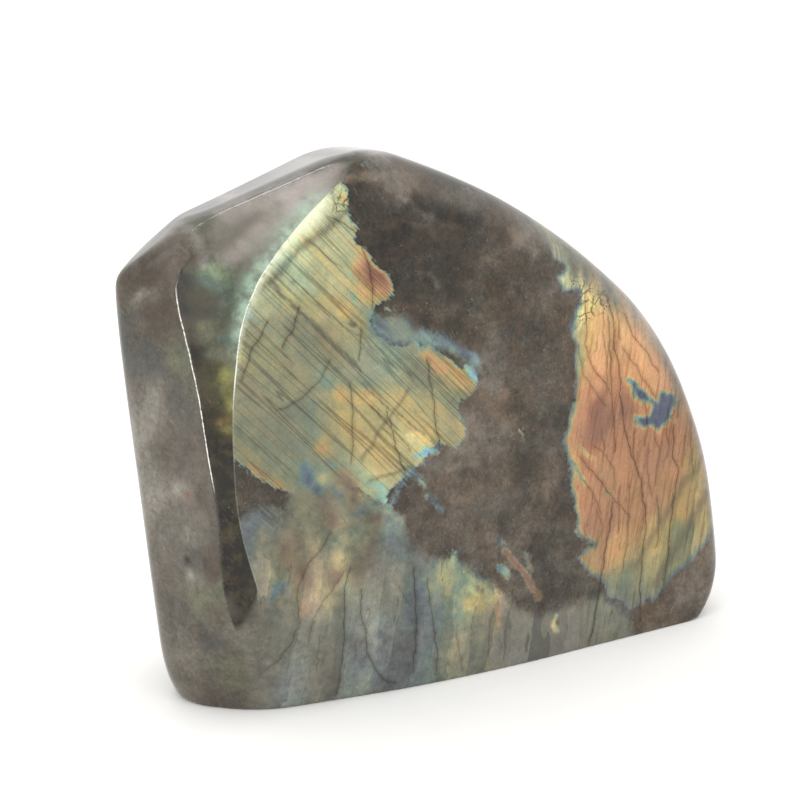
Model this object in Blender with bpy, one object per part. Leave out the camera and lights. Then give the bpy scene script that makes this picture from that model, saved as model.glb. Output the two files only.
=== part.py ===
# A polished labradorite free-form: one stone, sawn flat underneath so that it stands,
# and lapped by hand into broad faces with one crisp chamfer down its front left corner.
# Sizes are in millimetres and angles in degrees; the mesh is made in metres, +Z up,
# +X along the broad front face and +Y towards the back.

import math

import bmesh
import bpy
import numpy as np

# The stone's heart: every face is set by its distance from this point.
HEART = (0.0, 0.0, 50.0)

# Lapped faces: (turn, lean, distance, softness).
# Turn is the compass way the face looks: 0 front, -90 left, 90 right, 180 back.
# Lean tips it up when positive. Softness is how widely its edges are worn round.
FRONT = (0, 5, 18.2, 1)
LEFT_FACES = [
    (-68, 2.5, 60.6, 4),  # upper left side
    (-68, -1.5, 59.9, 0.6),  # lower left side
    (-65, 24, 66.8, 5),  # shoulder above it
]
FOOT_FACES = [
    (-44, -18, 57.6, 4),  # under the front left corner
    (-10, -14, 34.7, 4),  # under the left of the front
    (-100, -38, 76.6, 4),  # under the back left corner
]
ROOF_FACES = [
    (-112, 50, 69.4, 1),  # down to the back left
    (-113, 69, 62.5, 0.6),  # behind the ridge
]
BACK_FACES = [
    (-125, -6, 55.8, 3),
    (180, 5, 18.1, 6),
    (130, 0, 59.3, 6),
]
RIM_TURN = 95  # the arched rim looks a little backwards
RIM = [  # (lean, distance, softness) from the peak down the right side
    (70, 50.3, 6),
    (55, 46.3, 6),
    (38, 50.2, 6),
    (24, 54.3, 6),
    (14, 57.4, 6),
    (2, 64.6, 6),
    (-40, 76.1, 4),
]
RIM_BEVEL = [  # between the front face and the rim, from the peak down
    (18, 42, 42.5, 4),
    (30, 34, 40.3, 4),
    (40, 24, 46.2, 4),
    (45, 14, 52.3, 4),
    (45, 4, 57.6, 4),
]
# Faces cut last, so their edges against the others stay crisp.
CHAMFER_FACES = [
    (-30, 1.5, 42.8, 0.6),  # lower length of the corner chamfer
    (-30, 9.5, 43.5, 2),  # its upper length
    (-22, 22.5, 43.6, 2),  # the turn into the bevel
    (-40, 48.5, 60.3, 3),  # top left bevel
]
CRISP = 0.25  # softness along the chamfer
WORN = 1.6  # added where the chamfer runs into the shoulder
WORN_HEIGHT = (84.0, 93.0)  # it comes in between these heights
WORN_LEFT = (-49.0, -56.0)  # and between these distances left of the middle

BASE_SOFTNESS = 1.5  # the sawn edge, eased on the wheel
BASE_ALLOWANCE = 0.4  # stone left below the standing plane until the last cut

# Dimples and chips the lapping didn't reach the bottom of: (x, y, z, radius).
PITS = [
    (-53.0, -18.2, 21.0, 2.0),
    (-50.4, -19.6, 24.6, 1.3),
    (-51.9, -13.1, 4.2, 1.8),
    (-55.0, -9.6, 2.4, 2.2),
    (-24.5, -19.8, 1.6, 1.9),
    (38.0, 20.5, 18.0, 2.2),
]
PIT_DEPTH = 0.35  # depth of a dimple for each millimetre of its radius

BALL_CUTS = 8  # icosphere steps: 327,680 triangles before decimation
BALL_STRETCH = (65.0, 23.0, 55.0)  # spreads the points evenly over the stone's sides
SOLID_TRIANGLES = 7600
CLEAN_WELD = 0.08  # points nearer than this after the saw cut become one
MM = 0.001


def facing(turn, lean):
    turn, lean = math.radians(turn), math.radians(lean)
    return np.array(
        [math.sin(turn) * math.cos(lean), -math.cos(turn) * math.cos(lean), math.sin(lean)]
    )


def soft_max(first, second, softness):
    # The greater of two depths, with the crossing rounded over a band this wide.
    near = np.maximum(softness - np.abs(first - second), 0.0) / softness
    return np.maximum(first, second) + near * near * softness / 4


def ease(values, start, end):
    share = np.clip((values - start) / (end - start), 0.0, 1.0)
    return share * share * (3 - 2 * share)


def lapped(points, faces):
    depth = None
    for turn, lean, distance, softness in faces:
        face = (points - HEART) @ facing(turn, lean) - distance
        depth = face if depth is None else soft_max(depth, face, softness)
    return depth


def stone_depth(points):
    # Below zero inside the stone and above it outside, in millimetres.
    rim = [(RIM_TURN, lean, distance, softness) for lean, distance, softness in RIM]
    broad = [FRONT, *LEFT_FACES, *FOOT_FACES, *ROOF_FACES, *BACK_FACES, *rim, *RIM_BEVEL]
    worn = ease(points[:, 2], *WORN_HEIGHT) * ease(points[:, 0], *WORN_LEFT)
    depth = soft_max(
        lapped(points, broad), lapped(points, CHAMFER_FACES), CRISP + WORN * worn
    )
    depth = soft_max(depth, -points[:, 2] - BASE_ALLOWANCE, BASE_SOFTNESS)
    for x, y, z, radius in PITS:
        away = np.linalg.norm(points - (x, y, z), axis=1)
        depth = depth + radius * PIT_DEPTH * ease(away, radius, 0.0)
    return depth


def surface_points(directions):
    # Walks out from the heart along each direction until it meets the surface.
    reach = np.full(len(directions), 20.0)
    step = 0.01
    for _ in range(40):
        depth = stone_depth(HEART + directions * reach[:, None])
        further = stone_depth(HEART + directions * (reach + step)[:, None])
        slope = np.maximum((further - depth) / step, 0.05)
        reach -= np.clip(depth / slope, -10.0, 10.0)
    return HEART + directions * reach[:, None]


def polished_stone_material():
    material = bpy.data.materials.new("polished labradorite")
    material.use_nodes = True
    shader = material.node_tree.nodes["Principled BSDF"]
    shader.inputs["Base Color"].default_value = (0.115, 0.098, 0.082, 1)
    shader.inputs["Roughness"].default_value = 0.12
    shader.inputs["Metallic"].default_value = 0.0
    return material


def ball_on_the_surface():
    ball = bmesh.new()
    bmesh.ops.create_icosphere(ball, subdivisions=BALL_CUTS, radius=1.0)
    stretched = np.array([vert.co[:] for vert in ball.verts]) * BALL_STRETCH
    directions = stretched / np.linalg.norm(stretched, axis=1)[:, None]
    for vert, place in zip(ball.verts, surface_points(directions)):
        vert.co = place * MM
    mesh = bpy.data.meshes.new("labradorite_chunk")
    ball.to_mesh(mesh)
    ball.free()
    return mesh


def thinned(obj, triangles):
    decimate = obj.modifiers.new("Thin", "DECIMATE")
    decimate.ratio = triangles / len(obj.data.polygons)
    graph = bpy.context.evaluated_depsgraph_get()
    mesh = bpy.data.meshes.new_from_object(obj.evaluated_get(graph))
    obj.modifiers.remove(decimate)
    obj.data = mesh


def sawn_flat(mesh):
    stone = bmesh.new()
    stone.from_mesh(mesh)
    bmesh.ops.bisect_plane(
        stone,
        geom=stone.verts[:] + stone.edges[:] + stone.faces[:],
        plane_co=(0, 0, 0),
        plane_no=(0, 0, 1),
        clear_inner=True,
    )
    bmesh.ops.remove_doubles(
        stone, verts=[vert for vert in stone.verts if vert.co.z < BASE_SOFTNESS * MM], dist=CLEAN_WELD * MM
    )
    rim = [edge for edge in stone.edges if edge.is_boundary]
    bmesh.ops.holes_fill(stone, edges=rim)
    bmesh.ops.triangulate(stone, faces=stone.faces[:])
    bmesh.ops.recalc_face_normals(stone, faces=stone.faces[:])
    stone.to_mesh(mesh)
    stone.free()


def main():
    for old in list(bpy.data.objects):
        bpy.data.objects.remove(old)

    collection = bpy.data.collections.new("Labradorite free-form")
    bpy.context.scene.collection.children.link(collection)
    stone = bpy.data.objects.new("labradorite_chunk", ball_on_the_surface())
    collection.objects.link(stone)
    thinned(stone, SOLID_TRIANGLES)
    sawn_flat(stone.data)
    stone.data.materials.append(polished_stone_material())
    stone.data.shade_smooth()
    stone.data.set_sharp_from_angle(angle=math.radians(30))


main()
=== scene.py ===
import functools
import math

import bmesh
import bpy
import numpy as np
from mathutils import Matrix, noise


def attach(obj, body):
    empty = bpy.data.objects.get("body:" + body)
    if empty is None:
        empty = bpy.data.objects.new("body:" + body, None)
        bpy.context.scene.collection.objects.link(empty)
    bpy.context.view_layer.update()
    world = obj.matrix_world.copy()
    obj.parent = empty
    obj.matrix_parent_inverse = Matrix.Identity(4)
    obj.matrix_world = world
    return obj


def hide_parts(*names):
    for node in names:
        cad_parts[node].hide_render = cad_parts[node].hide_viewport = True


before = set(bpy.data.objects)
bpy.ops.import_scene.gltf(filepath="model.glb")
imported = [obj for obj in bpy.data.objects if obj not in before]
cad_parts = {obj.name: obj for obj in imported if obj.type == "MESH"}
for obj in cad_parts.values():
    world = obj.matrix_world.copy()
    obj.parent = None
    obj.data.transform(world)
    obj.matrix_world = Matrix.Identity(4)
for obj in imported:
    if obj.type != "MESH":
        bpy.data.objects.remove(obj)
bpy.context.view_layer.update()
mm = 0.001

# A face is (turn, lean, distance from the heart, softness of its edges) in degrees and mm.
# Turn: 0 looks to the front, -90 to the left. Lean tips the face up.
stone = {
    "heart": (0.0, 0.0, 50.0),
    "front": [(0, 5, 18.2, 1)],
    "left": [(-68, 2.5, 60.6, 4), (-68, -1.5, 59.9, 0.6), (-65, 24, 66.8, 5)],
    "foot": [(-44, -18, 57.6, 4), (-10, -14, 34.7, 4), (-100, -38, 76.6, 4)],
    "roof": [(-112, 50, 69.4, 1), (-113, 69, 62.5, 0.6)],
    "back": [(-125, -6, 55.8, 3), (180, 5, 18.1, 6), (130, 0, 59.3, 6)],
    "rim": [(95, 70, 50.3, 6), (95, 55, 46.3, 6), (95, 38, 50.2, 6), (95, 24, 54.3, 6),
            (95, 14, 57.4, 6), (95, 2, 64.6, 6), (95, -40, 76.1, 4)],
    "rimBevel": [(18, 42, 42.5, 4), (30, 34, 40.3, 4), (40, 24, 46.2, 4), (45, 14, 52.3, 4),
                 (45, 4, 57.6, 4)],
    # the narrow chamfer twists as it climbs: height, turn, distance from the upright through the heart
    "chamfer": [(10, -24, 40.6), (21, -25, 40.6), (25, -26.5, 40.6), (34, -29.4, 43.0),
                (44, -31, 44.2), (50.6, -32.8, 44.9), (62.5, -33.0, 44.0), (70, -32.8, 42.7),
                (74, -36, 44.0), (79, -40.5, 45.6), (83, -43.4, 45.9), (90, -46.0, 44.7)],
    "bevel": [(-22, 22.5, 43.6, 2), (-40, 48.5, 60.3, 3)],
    "bevelSoftness": 2.0,
    "backSoftness": 3.0,
    "roofRounding": 4.0,    # added where the roof runs into the back, between these heights and x
    "roundedHeight": (86.0, 102.0),
    "roundedAlong": (14.0, -34.0),
    "crisp": 0.22,          # softness of the chamfer's edges
    "worn": 4.0,            # added where the chamfer runs into the shoulder
    "wornHeight": (82.0, 90.0),
    "wornLeft": (-49.0, -56.0),
    "ridgeWear": 3.2,       # added where the bevel runs into the roof, this deep below the roof
    "ridgeDepth": (-7.0, -2.5),
    "baseSoftness": 1.5,
    "baseDrop": 0.4,        # the soft edge starts from this far below the sawn base
    "dimples": [(-53.0, -18.2, 21.0, 2.0), (-50.4, -19.6, 24.6, 1.3), (-51.9, -13.1, 4.2, 1.8),
                (-55.0, -9.6, 2.4, 2.2), (-24.5, -19.8, 1.6, 1.9), (38.0, 20.5, 18.0, 2.2)],
    "dimpleDepth": 0.35,
    "pits": [(-55.6, -16.2, 22.4, 0.5), (-51.5, -18.6, 20.0, 0.6), (-18.0, -16.2, 74.0, 0.5),
             (-59.0, -12.0, 31.0, 0.4), (-28.8, -19.0, 1.6, 0.9), (-12.0, -19.6, 2.4, 0.7),
             (2.2, -18.0, 41.0, 0.4), (-20.0, 18.5, 52.0, 0.9)],
    "wobble": 0.05,         # hand lapping leaves the faces this uneven, mm
    "sphereCuts": 7,
    "roughSize": (65.0, 23.0, 55.0),    # half the stone's sizes, to spread the mesh evenly
    "snapReach": 0.17,      # points this near a crisp edge slide onto it, above this height
    "crispAbove": 8.0,
    "seenFrom": (-0.50, -0.82, 0.28),   # this side gets the finer mesh, for its markings
    "seenLimit": 0.22,
}


def facing(turn, lean):
    turn, lean = math.radians(turn), math.radians(lean)
    return np.array([math.sin(turn) * math.cos(lean), -math.cos(turn) * math.cos(lean),
                     math.sin(lean)])


def softMax(first, second, softness):
    near = np.maximum(softness - np.abs(first - second), 0.0) / softness
    return np.maximum(first, second) + near * near * softness / 4


def ease(values, start, end):
    share = np.clip((values - start) / (end - start), 0.0, 1.0)
    return share * share * (3 - 2 * share)


def lapped(points, faces, depth=None):
    for turn, lean, distance, softness in faces:
        face = (points - stone["heart"]) @ facing(turn, lean) - distance
        depth = face if depth is None else softMax(depth, face, softness)
    return depth


def handLapped(points):
    # long shallow waves, as a stone held by hand against a wheel gets
    x, y, z = points.T
    return (np.sin(x / 7.1 + z / 11.3 + 1.0) + np.sin(z / 6.3 - y / 5.2 + 0.4)
            + np.sin(x / 4.7 - z / 8.9 + 2.1)) * stone["wobble"] / 3


def cutDepth(points):
    # the chamfer and the bevels above it, which were cut last and keep crisp edges
    heights, turns, distances = np.array(stone["chamfer"]).T
    rises = (-4.0, 0.0, 4.0)
    turn = np.radians(sum(np.interp(points[:, 2] + rise, heights, turns) for rise in rises) / 3)
    distance = sum(np.interp(points[:, 2] + rise, heights, distances) for rise in rises) / 3
    chamfer = points[:, 0] * np.sin(turn) - points[:, 1] * np.cos(turn) - distance
    return softMax(chamfer, lapped(points, stone["bevel"]), stone["bevelSoftness"])


def chamferDepths(points):
    broad = lapped(points, stone["front"] + stone["left"] + stone["foot"] + stone["roof"])
    rounded = ease(points[:, 2], *stone["roundedHeight"]) * ease(points[:, 0], *stone["roundedAlong"])
    softness = stone["backSoftness"] + stone["roofRounding"] * rounded
    broad = softMax(broad, lapped(points, stone["back"]), softness)
    return lapped(points, stone["rim"] + stone["rimBevel"], broad), cutDepth(points)


def stoneDepth(points):
    broad, cut = chamferDepths(points)
    worn = ease(points[:, 2], *stone["wornHeight"]) * ease(points[:, 0], *stone["wornLeft"])
    ridge = ease(lapped(points, stone["roof"]), *stone["ridgeDepth"])
    softness = stone["crisp"] + stone["worn"] * worn + stone["ridgeWear"] * ridge
    depth = softMax(broad, cut, softness) + handLapped(points)
    depth = softMax(depth, -points[:, 2] - stone["baseDrop"], stone["baseSoftness"])
    for x, y, z, radius in stone["dimples"] + stone["pits"]:
        away = np.linalg.norm(points - (x, y, z), axis=1)
        depth = depth + radius * stone["dimpleDepth"] * ease(away, radius, 0.0)
    return depth


def onSurface(points, rounds):
    # walks along the ray from the heart through each point until it meets the surface
    heart = np.array(stone["heart"])
    away = points - heart
    reach = np.linalg.norm(away, axis=1)
    ray = away / reach[:, None]
    for _ in range(rounds):
        depth = stoneDepth(heart + ray * reach[:, None])
        further = stoneDepth(heart + ray * (reach + 0.01)[:, None])
        reach -= np.clip(depth / np.maximum((further - depth) / 0.01, 0.05), -10, 10)
    return heart + ray * reach[:, None]


def edgeGap(points):
    broad, cut = chamferDepths(points)
    return cut - broad


def ontoCrispEdges(points):
    # points near a crisp edge slide onto it, so that it runs clean through the mesh
    gap = edgeGap(points)
    near = (np.abs(gap) < stone["snapReach"]) & (points[:, 2] > stone["crispAbove"])
    moved = points[near]
    for _ in range(3):
        gap = edgeGap(moved)
        slope = np.stack([(edgeGap(moved + step) - gap) / 0.01 for step in np.eye(3) * 0.01], 1)
        steep = np.maximum((slope ** 2).sum(1), 0.05)
        moved = moved - slope * np.clip(gap / steep, -0.5, 0.5)[:, None]
        moved = onSurface(moved, 4)
    points[near] = moved
    return points


def setPlaces(mesh, points):
    for vert, place in zip(mesh.verts, points * mm):
        vert.co = place


def buildStone():
    ball = bmesh.new()
    bmesh.ops.create_icosphere(ball, subdivisions=stone["sphereCuts"], radius=1.0)
    spread = np.array([vert.co[:] for vert in ball.verts]) * stone["roughSize"]
    spread = spread * (20 / np.linalg.norm(spread, axis=1))[:, None] + stone["heart"]
    setPlaces(ball, onSurface(spread, 26))     # steps enough to come to rest from well inside
    ball.normal_update()
    seen = np.array(stone["seenFrom"])
    fine = [face for face in ball.faces if np.dot(face.normal, seen) > stone["seenLimit"]]
    edges = list({edge for face in fine for edge in face.edges})
    bmesh.ops.subdivide_edges(ball, edges=edges, cuts=1, use_grid_fill=True)
    bmesh.ops.triangulate(ball, faces=[face for face in ball.faces if len(face.verts) > 3])
    points = np.array([vert.co[:] for vert in ball.verts]) / mm
    points = ontoCrispEdges(onSurface(points, 10))
    points[:, 2] = np.maximum(points[:, 2], 0.0)   # sawn flat underneath
    setPlaces(ball, points)
    mesh = bpy.data.meshes.new("polishedStone")
    ball.to_mesh(mesh)
    ball.free()
    mesh.shade_smooth()
    stoneObject = bpy.data.objects.new("polishedStone", mesh)
    bpy.context.scene.collection.objects.link(stoneObject)
    return stoneObject, points


stoneObject, places = buildStone()
print("stone:", len(stoneObject.data.polygons), "triangles")

# The markings of the two broad faces, at places (x, z) in mm.
# Hues run 0 violet, 1 blue, 2 azure, 3 teal, 4 sage, 5 yellow-green, 6 yellow, 7 gold,
# 8 orange, 9 copper, 10 red-brown.
frontMarks = {
    # name: outline, width of its soft border in mm
    "zones": {
        "greenGold": ([(-30.5, 105.5), (-27.6, 105), (-26.4, 103), (-26, 100.6), (-26.9, 99.2),
                       (-26, 97.2), (-24.8, 95.6), (-25.6, 94), (-24, 92.2), (-22, 89.8),
                       (-19.6, 87.2), (-17.6, 85.2), (-17.2, 82.8), (-18.2, 80.8), (-20.2, 80.6),
                       (-22.4, 79.4), (-22.9, 76.8), (-21.6, 74.8), (-18.6, 72.6),
                       (-15.4, 71.2), (-13.2, 72.6), (-11.6, 71.4), (-9.2, 71.8), (-7.6, 69.6),
                       (-4.6, 67), (-2.6, 65.4), (-1.4, 66.6), (0.2, 65.4), (1.9, 62.4),
                       (0.6, 60.2), (-1, 58.8), (-3.2, 58.6), (-3, 56), (-2.2, 53.4),
                       (-1.7, 51), (-3, 49.4), (-5.4, 48.4), (-7.4, 49.6), (-9, 50.2),
                       (-10.6, 49), (-12.6, 47.2), (-14.2, 46.2), (-14.6, 44.8), (-17, 43.9),
                       (-19.8, 43.2), (-21.2, 42), (-20.6, 40.2), (-22.6, 39.9), (-24.6, 41.6),
                       (-27, 43.6), (-28.2, 44.8), (-29.8, 44.2), (-31.2, 44.6), (-32.2, 44.6),
                       (-33.6, 44.7), (-35.8, 45.2), (-37.2, 47), (-38.6, 46), (-40, 47.4),
                       (-41, 46), (-42.4, 45.4), (-45, 46.8), (-47.6, 48.4), (-50, 50),
                       (-52, 52.2), (-54.4, 54.2), (-55.4, 57), (-56.4, 60), (-57.2, 63),
                       (-56.6, 66), (-54.8, 68), (-55.6, 70.4), (-54.2, 72.6), (-54.6, 76),
                       (-55, 80), (-53.6, 85), (-51, 89.2), (-46, 94), (-41, 99),
                       (-37, 102.8), (-33.4, 105.8)], 0.5),
        "copper": ([(18, 91.5), (19, 88.6), (20.1, 86.8), (20.3, 84.2), (21.4, 83.6),
                    (23.2, 82.6), (21.6, 80.8), (22, 78.4), (22.4, 76.6), (24.2, 76.3),
                    (26.6, 76.9), (26, 75), (24.8, 72.4), (23.4, 70.2), (24.4, 67.6), (25.3, 66),
                    (24.9, 62), (24.9, 58), (24.3, 54.4), (23.2, 51), (22.6, 48), (21, 46.4),
                    (22.4, 43), (22.8, 40), (22.9, 36.6), (23.6, 33), (24.3, 29.4), (24.6, 26.2),
                    (26.8, 23.8), (28.6, 22.4), (24.2, 21.4), (25.6, 18.4), (27.4, 15.4),
                    (30.2, 13.8), (31.8, 12), (32.4, 10.2), (35.6, 8), (38, 5.9), (40.6, 5.6),
                    (43.4, 6.8), (45.4, 6.2), (47.6, 8.4), (52, 11.4), (56.2, 13.6),
                    (60.6, 16.8), (63, 19), (72, 24), (74, 60), (62, 80), (42, 92), (25, 98)],
                   0.9),
        "yellowTongue": ([(-13.2, 26), (-10, 25.4), (-8, 26.5), (-6.4, 29.4), (-5, 27.4),
                          (-3, 23.6), (0, 21.4), (2, 18.8), (3.1, 16), (2.2, 13.6), (-1, 12.8),
                          (-4.4, 11.8), (-7, 12.2), (-9, 15), (-10.8, 19)], 1.4),
        "smokeEast": ([(-24, 81), (-20, 79), (-14, 77.5), (-8, 74), (-2, 71.5), (2.5, 68),
                       (3.5, 63.5), (1, 62), (-2, 66), (-8, 69), (-14, 70), (-20, 72), (-24, 75)],
                      2.6),
        "smokeLow": ([(-44, 49), (-39, 52), (-36, 48.5), (-31, 47.5), (-25, 44), (-20, 40),
                      (-16.5, 37), (-16, 31), (-19, 28), (-24, 32), (-30, 35), (-36, 36),
                      (-41, 37), (-45, 41)], 2.4),
        "paleFoot": ([(-70, 36), (-56, 44), (-50, 46), (-44, 44.5), (-40, 43.5), (-34, 42),
                      (-28, 41), (-22, 38), (-16, 33), (-12, 29), (-5, 27.5), (-1, 24), (4, 20),
                      (8, 16), (14, 12), (22, 12), (31, 13), (40, 6), (41, 0), (41, -9),
                      (-70, -9)], 3.6),
    },
    # angle of the layers there, then spots: x, z, hue, brightness, haze, reach
    "spots": [
        (-46, [
            (-31, 103.5, 5.0, 1.15, .2, 3), (-27.6, 101.5, 7.0, .9, .1, 1.2),
            (-36, 99, 4.9, 1.4, .3, 4), (-32, 95, 4.8, 1.05, .3, 4), (-41, 93, 4.6, 1.35, .3, 4),
            (-48, 86, 4.4, 1.05, .25, 3), (-49.2, 82.4, 1.9, .95, .1, .8),
            (-46, 83, 4.7, .85, .3, 3), (-39, 87, 4.7, .95, .3, 4), (-33, 87, 5.2, .95, .25, 3),
            (-28.6, 91, 4.5, .95, .3, 2), (-27.4, 87, 3.9, .85, .3, 1.2),
            (-25.6, 88, 7.9, .9, .1, 1.4), (-23, 86.8, 9.0, .64, .15, 2.2),
            (-20.6, 85.5, 8.9, .6, .15, 1.4), (-17.8, 85, 3.8, .6, .3, .8),
            (-20, 81.6, 7.8, .7, .1, .9), (-24, 82.4, 7.2, .9, .1, 1.1),
            (-22.3, 91, 8.4, .8, .05, 1), (-27, 81.8, 2.6, .75, .2, .8),
            (-33, 82, 6.2, .85, .15, 2.4), (-30, 80, 6.8, .8, .15, 1.8),
            (-37, 82, 5.4, .75, .25, 3), (-26, 77, 5.5, .6, .3, 2), (-38, 76, 5.0, .5, .5, 4),
            (-44, 80, 5.0, .6, .45, 3), (-48, 75, 5.2, .64, .4, 3), (-52, 75, 5.6, .8, .15, 1.2),
            (-40, 71, 5.5, .6, .45, 3), (-34, 74, 5.8, .5, .45, 3), (-45, 67, 5.4, .6, .5, 4),
            (-51, 66, 5.4, .56, .5, 3), (-50, 59, 5.4, .5, .4, 3), (-41, 62, 5.0, .48, .5, 3),
            (-34, 67, 3.8, .6, .35, 1.8), (-37, 62, 4.4, .55, .4, 2), (-38, 57, 4.8, .55, .35, 2),
            (-30.5, 63, 7.3, .76, .15, 1.5), (-27.5, 57, 6.2, .73, .2, 3),
            (-24.5, 63, 7.0, .84, .15, 1.8), (-22, 52, 6.3, .84, .18, 3),
            (-16.5, 57.5, 6.0, .86, .18, 3), (-15, 52.5, 6.0, 1.25, .12, 2),
            (-9, 55, 5.9, .82, .25, 3), (-4.8, 51, 5.8, .7, .3, 2), (-5, 59, 5.0, .6, .4, 2),
            (-8, 66, 7.4, .8, .1, 1.5), (-10, 69, 7.8, .75, .1, 1.1), (-3, 64, 7.4, .9, .1, 1.1),
            (-.2, 64, 2.4, 1.1, .05, .7), (-13, 66, 4.8, .55, .45, 3), (-18, 70, 3.9, .6, .35, 2),
            (-12.5, 71.2, 3.0, .8, .2, .7), (-21, 68, 4.0, .82, .45, 2.5),
            (-24, 70, 4.4, .76, .45, 2.5), (-25, 66, 4.2, .6, .35, 1.5), (-35, 55, 7.4, .65, .2, 1.5),
            (-45, 54, 5.0, .5, .45, 3), (-49, 51.6, 8.4, .6, .2, .8), (-50.6, 51.4, 8.2, .66, .25, .7),
            (-46, 48.6, 8.2, .62, .25, .7),
            (-45, 48.2, 7.2, .6, .2, .9), (-43, 50, 4.8, .5, .4, 1.5),
            (-35, 47.2, 5.4, .8, .2, 1.0), (-38.5, 48, 1.4, .38, .45, 1.1),
            (-33, 50, 3.6, .6, .3, .9), (-24.5, 48, 5.6, .95, .15, 1.8),
            (-26, 44.8, 4.4, .8, .2, 1.1), (-22.5, 44.5, 3.7, .85, .1, 1.0),
            (-22, 41.5, 3.4, .8, .1, .8), (-16, 45, 4.6, .8, .2, 1.0),
            (-11.4, 49.3, 2.2, 1.1, .1, .6),
            (-20.8, 75.1, 1.5, .42, .8, 1.8), (-17.6, 72.5, 2.6, .6, .6, 1),
            (-13.4, 76, 1.2, .36, .85, 1.5), (-11.3, 72.9, 2.2, .75, .45, .9),
            (-8, 71.5, 1.8, .6, .6, 1), (-3.3, 70.4, 1.2, .45, .7, 1.3),
            (-1, 67, 1.5, .6, .5, .8), (1.6, 64.6, 1.5, .95, .2, .8),
            (-39.4, 50.2, 1.2, .5, .45, 1.2), (-35, 46.7, 5.4, .85, .2, .7),
            (-37, 46, 1.6, .42, .6, 1.2), (-30.4, 45.9, 7.4, .42, .7, 1.3),
            (-36.2, 43, 7.0, .38, .8, 1.4), (-33, 43.4, 2.2, .44, .75, .8), (-34.6, 40, 7.2, .36, .7, 1.4),
            (-31, 39.6, 5, .5, .7, 1.0), (-29.4, 43.2, 7.6, .34, .7, 1.0),
            (-26.9, 39.7, 2.6, .46, .8, 1.0), (-24, 41, 2.6, .46, .75, .8), (-24.6, 37.4, 7.2, .37, .75, 1.2),
            (-19.5, 33.8, 3, .46, .8, 1.1), (-21.4, 37, 2.2, .44, .8, 1.0),
            (-21.7, 41, 3.4, .95, .15, .9),
        ]),
        (80, [
            (20, 89, 5, .9, .6, 2), (23, 85.5, 4.6, 1.45, .45, 2), (27, 83, 5, .5, .75, 2),
            (24.4, 80.4, 5.4, 1.55, .2, 1.6), (23.6, 77.2, 2.6, 1.1, .3, .4),
            (27.5, 79.6, 5.7, 1.5, .1, 1.4), (31, 81, 5, .5, .75, 1.6),
            (27, 73, 5.6, 1.6, .1, 1.8), (24.6, 70, 3, .6, .5, .6), (26.6, 68, 5.7, .85, .2, 1.6),
            (26.6, 63, 4.8, .75, .35, 1.2), (31, 75.5, 6.2, 1.3, .1, 2), (36, 79, 5, .5, .8, 2),
            (37, 73.6, 3.2, .6, .2, .6), (31.5, 68, 7.2, 1.05, .15, 2.5),
            (32.5, 62.5, 7.5, 1.0, .12, 2.5), (27.6, 59.5, 7.2, .8, .15, 1.4),
            (40, 68.5, 7.3, 1.1, .15, 2.5), (44, 73, 6, .6, .8, 1.8),
            (43.5, 64.5, 7.7, 1.2, .12, 2.5), (46.3, 58.5, 8.0, 1.05, .1, 2.2),
            (40, 60, 7.8, 1.02, .1, 2), (50.5, 62, 7, .55, .8, 1.6), (28, 55.5, 8.1, .86, .1, 2),
            (31.5, 50, 9.1, .66, .12, 3), (38.5, 52, 8.8, .66, .1, 2), (36.5, 56.5, 8.2, .8, .1, 2),
            (54.5, 52, 7.5, .5, .8, 1.6), (36, 44.5, 8.4, .74, .1, 2.5), (45, 42.5, 8.4, .74, .1, 3),
            (30.5, 39.5, 8.0, .8, .1, 2), (24.4, 40, 6.8, .85, .15, 1.0),
            (33, 33.5, 8.0, .69, .1, 2), (27.5, 31, 8.0, .68, .1, 1.6), (28.5, 27, 8.4, .66, .1, 1.6),
            (33, 26, 8.3, .66, .1, 2), (35.5, 20.5, 7.4, .82, .1, 2), (50, 42, 8.6, .7, .1, 2),
            (54.5, 44.5, 8.5, .72, .15, 1.6), (59.5, 42, 8, .5, .75, 1.4),
            (40.5, 30, 7.9, .62, .12, 2.5), (47, 33.5, 8.0, .62, .12, 2.2),
            (51.5, 34, 8.2, .72, .1, 1.6), (54, 27.5, 7.1, .78, .15, 2),
            (57.5, 35.5, 6.6, .72, .2, 1.6), (59, 27, 6.0, .6, .25, 1.6),
            (60.5, 21.5, 5.6, .6, .25, 1.4), (56.5, 18, 5.3, .58, .25, 1.8),
            (52, 21.5, 5.4, .62, .3, 1.6), (45.5, 20.5, 6.2, .72, .2, 2),
            (44, 14.5, 5.2, .62, .3, 1.6), (48.5, 11.6, 5.6, .6, .3, 1.4),
            (41.5, 9, 4.5, .5, .5, 1.6), (36.5, 12, 4.0, .45, .5, 1.8),
            (33, 13, 4.3, .5, .45, 1.2), (28, 17.6, 6.8, .65, .2, 1.4),
            (26, 20.2, 8.4, .6, .1, 1.0), (31, 20, 7.8, .58, .2, 1.2),
        ]),
        (84, [
            (-54, 40, 2.6, .51, .8, 3), (-50, 43, 2.4, .58, .75, 2), (-50, 38, 5.4, .54, .7, 2),
            (-55, 30, 5, .44, .85, 3), (-47, 27.2, 1.7, .64, .5, 1.1), (-46.4, 24.6, 7.6, .6, .45, .7),
            (-41, 23, 7.0, .54, .5, .9), (-38, 25.5, 5.4, .62, .45, 1.1), (-44.4, 34.6, 7.6, .32, .7, 1.1),
            (-39.6, 36, 5.2, .48, .55, 1.0), (-41.5, 29.5, 7.4, .28, .6, 1.4), (-34, 28.4, 7.4, .38, .7, .9),
            (-42, 26.5, 5.2, .42, .55, 1.2), (-46, 31.5, 5.0, .36, .6, 1.4),
            (-39, 40.5, 5.2, .5, .6, 2.2), (-33.4, 31, 5.1, .74, .35, .9),
            (-31.4, 26.5, 3.6, .82, .4, .7), (-36, 22.5, 5.2, .7, .4, 1), (-33, 35, 4.6, .58, .6, 1.5),
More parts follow.
